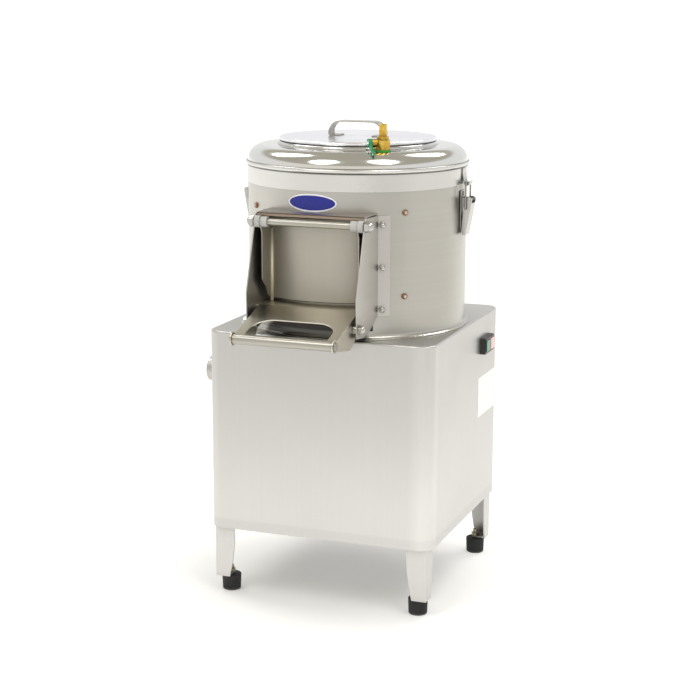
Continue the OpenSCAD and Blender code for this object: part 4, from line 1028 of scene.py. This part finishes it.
class PEELER_OT_drive(bpy.types.Operator):
    """Disc, shaft, bearings, pulleys, belt and motor"""

    bl_idname = "peeler.drive"
    bl_label = "Disc and drive"

    def execute(self, context):
        aluminium = cast_finish("cast aluminium", (0.55, 0.56, 0.57), 0.42, 420.0, 0.00022)
        dress(aluminium, "peeling_disc")
        iron = cast_finish("machined cast iron", (0.20, 0.20, 0.21), 0.45, 300.0, 0.0003)
        dress(iron, "driven_pulley", "motor_pulley", "bearing_housing")
        enamel = cast_finish("motor enamel", (0.07, 0.12, 0.18), 0.36, 260.0, 0.00025, metallic=0.0)
        dress(enamel, "motor_housing")
        ground = steel_finish(
            "ground shaft", (0.62, 0.62, 0.62), 0.18, (60.0, 60.0, 900.0), anisotropy=0.2
        )
        dress(ground, "drive_shaft", "motor_shaft", "disc_nut", "ball_bearings")
        rail = steel_finish("galvanised rail", (0.50, 0.51, 0.52), 0.42, (90.0, 90.0, 90.0))
        dress(rail, "motor_mount")
        dress(moulded_finish("belt rubber", (0.012, 0.012, 0.013), 0.7), "v_belt")
        dress(moulded_finish("seal rubber", (0.014, 0.014, 0.014), 0.5), "shaft_seal")
        return {"FINISHED"}


class PEELER_OT_switch(bpy.types.Operator):
    """Black switch with its green and red buttons"""

    bl_idname = "peeler.switch"
    bl_label = "Switch"

    def execute(self, context):
        black = moulded_finish("switch moulding", (0.014, 0.014, 0.016), 0.36, coat=0.2)
        dress(black, "switch_housing")
        green = moulded_finish("green button", (0.012, 0.16, 0.085), 0.3, depth=0.00003, coat=0.5)
        dress(green, "start_button")
        red = moulded_finish("red button", (0.75, 0.33, 0.31), 0.2, depth=0.00003, coat=1.0)
        dress(red, "stop_button")
        return {"FINISHED"}


def badge_outline(cap_ends, width, height):
    """An oval in the XY plane, as a face or as an open ring of edges."""
    bm = bmesh.new()
    bmesh.ops.create_circle(bm, cap_ends=cap_ends, segments=96, radius=1.0)
    bmesh.ops.scale(bm, verts=bm.verts, vec=(width / 2, height / 2, 1.0))
    return bm


class PEELER_OT_badge(bpy.types.Operator):
    """Blank oval badge, bent to the drum, with a raised rim"""

    bl_idname = "peeler.badge"
    bl_label = "Badge"

    def execute(self, context):
        badge = context.scene.peeler_badge
        covered = 1.6 * BADGE_RIM
        face = badge_outline(True, badge.width - covered, badge.height - covered)
        extruded(face, list(face.faces), BADGE_FACE_THICKNESS)
        cut_in_strips(face, badge.width / 2)
        enamel = moulded_finish(
            "badge enamel", badge.face_colour, 0.3, depth=0.000002, coat=0.1, drift=0.04
        )
        rim = badge_outline(False, badge.width, badge.height)
        grown = bmesh.ops.extrude_edge_only(rim, edges=list(rim.edges))
        inner = [item for item in grown["geom"] if isinstance(item, bmesh.types.BMVert)]
        shrink = (1 - 2 * BADGE_RIM / badge.width, 1 - 2 * BADGE_RIM / badge.height, 1.0)
        bmesh.ops.scale(rim, verts=inner, vec=shrink)
        extruded(rim, list(rim.faces), BADGE_RIM_THICKNESS)
        pale = moulded_finish("badge rim lacquer", (0.86, 0.86, 0.90), 0.3, coat=0.3)
        for bm, name, finish in ((face, "badge_face", enamel), (rim, "badge_rim", pale)):
            turned_onto_drum(bm, badge.angle, badge.centre_height, BADGE_LIFT)
            finish_piece(bm, name, "machine", finish, smooth=False)
        return {"FINISHED"}


class PEELER_OT_label(bpy.types.Operator):
    """Blank film label on the right wall"""

    bl_idname = "peeler.label"
    bl_label = "Label"

    def execute(self, context):
        label = context.scene.peeler_label
        bm = bmesh.new()
        bmesh.ops.create_grid(bm, x_segments=1, y_segments=1, size=0.5)
        bmesh.ops.scale(bm, verts=bm.verts, vec=(label.width, label.height, 1.0))
        bmesh.ops.bevel(
            bm,
            geom=list(bm.verts),
            offset=LABEL_CORNER,
            segments=5,
            profile=0.5,
            affect="VERTICES",
            material=-1,
        )
        extruded(bm, list(bm.faces), LABEL_THICKNESS)
        face_right = Matrix(((0, 0, 1), (1, 0, 0), (0, 1, 0))).to_4x4()
        middle = Matrix.Translation(
            (
                CABINET_RIGHT + LABEL_LIFT,
                label.front + label.width / 2,
                label.low + label.height / 2,
            )
        )
        bmesh.ops.transform(bm, verts=bm.verts, matrix=middle @ face_right)
        film = moulded_finish(
            "label film", (0.93, 0.93, 0.93), 0.42, depth=0.00001, coat=0.5, drift=0.02
        )
        finish_piece(bm, "blank_label", "machine", film, smooth=False)
        return {"FINISHED"}


def add_socket(bm, place):
    """A shallow hexagon socket with a flat wall round it, drawn facing Z and then placed."""
    made = bmesh.ops.create_circle(bm, cap_ends=True, segments=6, radius=SOCKET_RADIUS)
    face = made["verts"][0].link_faces[0]
    bmesh.ops.inset_region(bm, faces=[face], thickness=SOCKET_WALL, use_boundary=True)
    floor = extruded(bm, [face], -SOCKET_DEPTH)
    bmesh.ops.delete(bm, geom=[face], context="FACES_ONLY")
    part = set(made["verts"]) | {vertex for low in floor for vertex in low.verts}
    for vertex in list(part):
        part |= {end for edge in vertex.link_edges for end in edge.verts}
    bmesh.ops.transform(bm, verts=list(part), matrix=place)


class PEELER_OT_screw_sockets(bpy.types.Operator):
    """Hexagon sockets in the heads of the liner screws"""

    bl_idname = "peeler.screw_sockets"
    bl_label = "Screw sockets"

    def execute(self, context):
        pale_finish = fitting_finish("pale screw face", (0.66, 0.60, 0.54), 0.30, 500.0)
        outwards = Matrix.Rotation(QUARTER_TURN, 4, "X")
        bm = bmesh.new()
        for angle in LINER_SCREW_ANGLES:
            turn = Matrix.Rotation(math.radians(angle), 4, "Z") @ outwards
            for height in LINER_SCREW_HEIGHTS:
                axis = Matrix.Translation((DRUM_X, DRUM_Y, height))
                add_socket(bm, axis @ turn @ Matrix.Translation((0, 0, SCREW_FACE_REACH)))
        finish_piece(bm, "liner_screw_sockets", "machine", pale_finish, smooth=False)
        return {"FINISHED"}


class PEELER_OT_studio(bpy.types.Operator):
    """Pale floor, surroundings, softboxes and camera"""

    bl_idname = "peeler.studio"
    bl_label = "Studio"

    def execute(self, context):
        studio = context.scene.peeler_studio
        build_floor()
        build_surroundings(studio)
        build_softboxes(studio)
        build_camera(studio)
        context.scene.view_settings.view_transform = "Standard"
        context.scene.view_settings.look = "None"
        return {"FINISHED"}


# ---- Studio ----


def floor_painted_light(tree, where, ahead):
    """Painted light of the floor itself: more away from the part, so that its shadow near the part is
    partly painted, and less in front and far to the right.
    """
    parts = axes(tree, (1, 0), where)
    reach = vector_node(tree, (1, 1), "LENGTH", where)
    sideways = math_node(tree, (2, 5), "DIVIDE", parts["X"], reach)
    right = spread(tree, (3, 5), sideways, (0.2, 0.95), (0.0, 0.32))
    far_right = spread(tree, (3, 6), parts["X"], (0.8, 2.2))
    beside = math_node(tree, (4, 5), "MULTIPLY", right, far_right)
    near = spread(tree, (3, 1), reach, (0.10, 0.36), (0.10, 0.42))
    far = spread(tree, (3, 2), reach, (1.0, 4.5), (0.0, 0.36))
    glow = math_node(tree, (4, 1), "ADD", near, far)
    dim = math_node(tree, (4, 0), "MULTIPLY", ahead, 0.30)
    darker = math_node(tree, (5, 1), "ADD", dim, beside)
    return math_node(tree, (5, 0), "SUBTRACT", glow, darker)


def build_floor():
    """Pale sweep that glows out to the horizon and turns slightly cooler in front."""
    finish, tree, shader, where = start_finish("pale studio floor")
    depth = axes(tree, (1, 2), where)["Y"]
    reach = vector_node(tree, (1, 4), "LENGTH", where)
    forward = math_node(tree, (2, 4), "DIVIDE", depth, reach)
    facing = spread(tree, (3, 4), forward, (0.1, -0.9))
    in_front = spread(tree, (3, 0), depth, (-0.6, -1.6))
    ahead = math_node(tree, (4, 4), "MULTIPLY", facing, in_front)
    cloud = noise(tree, (1, 3), where, 0.8)
    paper = mix_colour(tree, (4, 3), cloud, rgba((0.90, 0.90, 0.90)), rgba((0.92, 0.92, 0.92)))
    cooler = mix_colour(tree, (5, 3), ahead, paper, rgba((0.92, 0.925, 0.935)))
    join(tree, cooler, shader["Base Color"])
    # Painted light: the floor glows, least near the part, which deepens its shadow there
    shine = vector_node(tree, (7, 1), "SCALE", cooler, floor_painted_light(tree, where, ahead))
    join(tree, shine, shader["Emission Color"])
    join(tree, 1.0, shader["Emission Strength"])
    join(tree, 0.9, shader["Roughness"])
    join(tree, 0.0, shader["Specular IOR Level"])
    bm = bmesh.new()
    bmesh.ops.create_grid(bm, x_segments=1, y_segments=1, size=FLOOR_REACH)
    floor = add_mesh(bm, "studio_floor", finish)


def build_surroundings(studio):
    """Pale walls that turn beige in front, under a darker ceiling."""
    world = bpy.data.worlds.new("studio surroundings")
    bpy.context.scene.world = world
    world.use_nodes = True
    tree = world.node_tree
    tree.nodes.clear()
    parts = axes(tree, (1, 0), put(tree, "ShaderNodeTexCoord", (0, 0)).outputs["Generated"])
    rise = spread(tree, (2, 0), parts["Z"], (0.38, 0.50))
    front = spread(tree, (2, 2), parts["Y"], (-0.2, -0.9))
    foot = spread(tree, (2, 3), parts["Z"], (0.0, 0.08))
    wall = mix_colour(tree, (4, 1), front, rgba((0.90, 0.90, 0.90)), rgba((0.90, 0.86, 0.79)))
    side = mix_colour(tree, (4, 3), foot, rgba((1.05, 1.05, 1.05)), wall)
    sky = mix_colour(tree, (5, 0), rise, side, rgba(studio.ceiling_tone))
    background = put(tree, "ShaderNodeBackground", (7, 0))
    join(tree, sky, background.inputs["Color"])
    join(tree, studio.surround, background.inputs["Strength"])
    output = put(tree, "ShaderNodeOutputWorld", (9, 0))
    join(tree, background.outputs[0], output.inputs["Surface"])


def build_softboxes(studio):
    """Oval softboxes overhead, aimed at the drum."""
    for index, (x, y, width, depth) in enumerate(SOFTBOXES):
        lamp = bpy.data.lights.new("softbox_%d" % (index + 1), "AREA")
        lamp.shape = "ELLIPSE"
        lamp.size = width
        lamp.size_y = depth
        lamp.energy = studio.softbox_power
        box = add_object(lamp.name, lamp)
        place = Vector((x, y, SOFTBOX_HEIGHT))
        turn = (SOFTBOX_AIM - place).to_track_quat("-Z", "Y").to_matrix().to_4x4()
        box.matrix_world = Matrix.Translation(place) @ turn


def build_camera(studio):
    """Camera in front of the part, to its right and above it, looking down at it."""
    camera = bpy.data.cameras.new("studio_camera")
    camera.lens = studio.lens
    camera.sensor_width = 36.0
    camera.clip_end = 60.0
    holder = add_object("studio_camera", camera)
    yaw = Matrix.Rotation(CAMERA_YAW, 4, "Z")
    tilt = Matrix.Rotation(QUARTER_TURN - CAMERA_PITCH, 4, "X")
    roll = Matrix.Rotation(CAMERA_ROLL, 4, "Z")
    holder.matrix_world = Matrix.Translation(CAMERA_PLACE) @ yaw @ tilt @ roll
    bpy.context.scene.camera = holder


# ---- Panel and registration ----

SETTINGS = (
    ("peeler_steel", PeelerSteel),
    ("peeler_badge", PeelerBadge),
    ("peeler_label", PeelerLabel),
    ("peeler_studio", PeelerStudio),
)
OPERATORS = (
    PEELER_OT_cabinet,
    PEELER_OT_drum,
    PEELER_OT_lid,
    PEELER_OT_chute,
    PEELER_OT_latches,
    PEELER_OT_valve,
    PEELER_OT_drive,
    PEELER_OT_switch,
    PEELER_OT_badge,
    PEELER_OT_label,
    PEELER_OT_screw_sockets,
    PEELER_OT_studio,
)


class PEELER_PT_sidebar(bpy.types.Panel):
    """Lists the peeler's pieces and their settings"""

    bl_idname = "PEELER_PT_sidebar"
    bl_label = "Potato peeler"
    bl_space_type = "VIEW_3D"
    bl_region_type = "UI"
    bl_category = "Peeler"

    def draw(self, context):
        for operator in OPERATORS:
            self.layout.operator(operator.bl_idname)
        for name, group in SETTINGS:
            box = self.layout.box()
            for setting in group.__annotations__:
                box.prop(getattr(context.scene, name), setting)


def register():
    for name, group in SETTINGS:
        bpy.utils.register_class(group)
        setattr(bpy.types.Scene, name, bpy.props.PointerProperty(type=group))
    for operator in OPERATORS:
        bpy.utils.register_class(operator)
    bpy.utils.register_class(PEELER_PT_sidebar)


def unregister():
    bpy.utils.unregister_class(PEELER_PT_sidebar)
    for operator in reversed(OPERATORS):
        bpy.utils.unregister_class(operator)
    for name, group in reversed(SETTINGS):
        delattr(bpy.types.Scene, name)
        bpy.utils.unregister_class(group)


def main():
    register()
    build_effects()
    for operator in OPERATORS:
        family, action = operator.bl_idname.split(".")
        getattr(getattr(bpy.ops, family), action)()


if __name__ == "__main__":
    main()
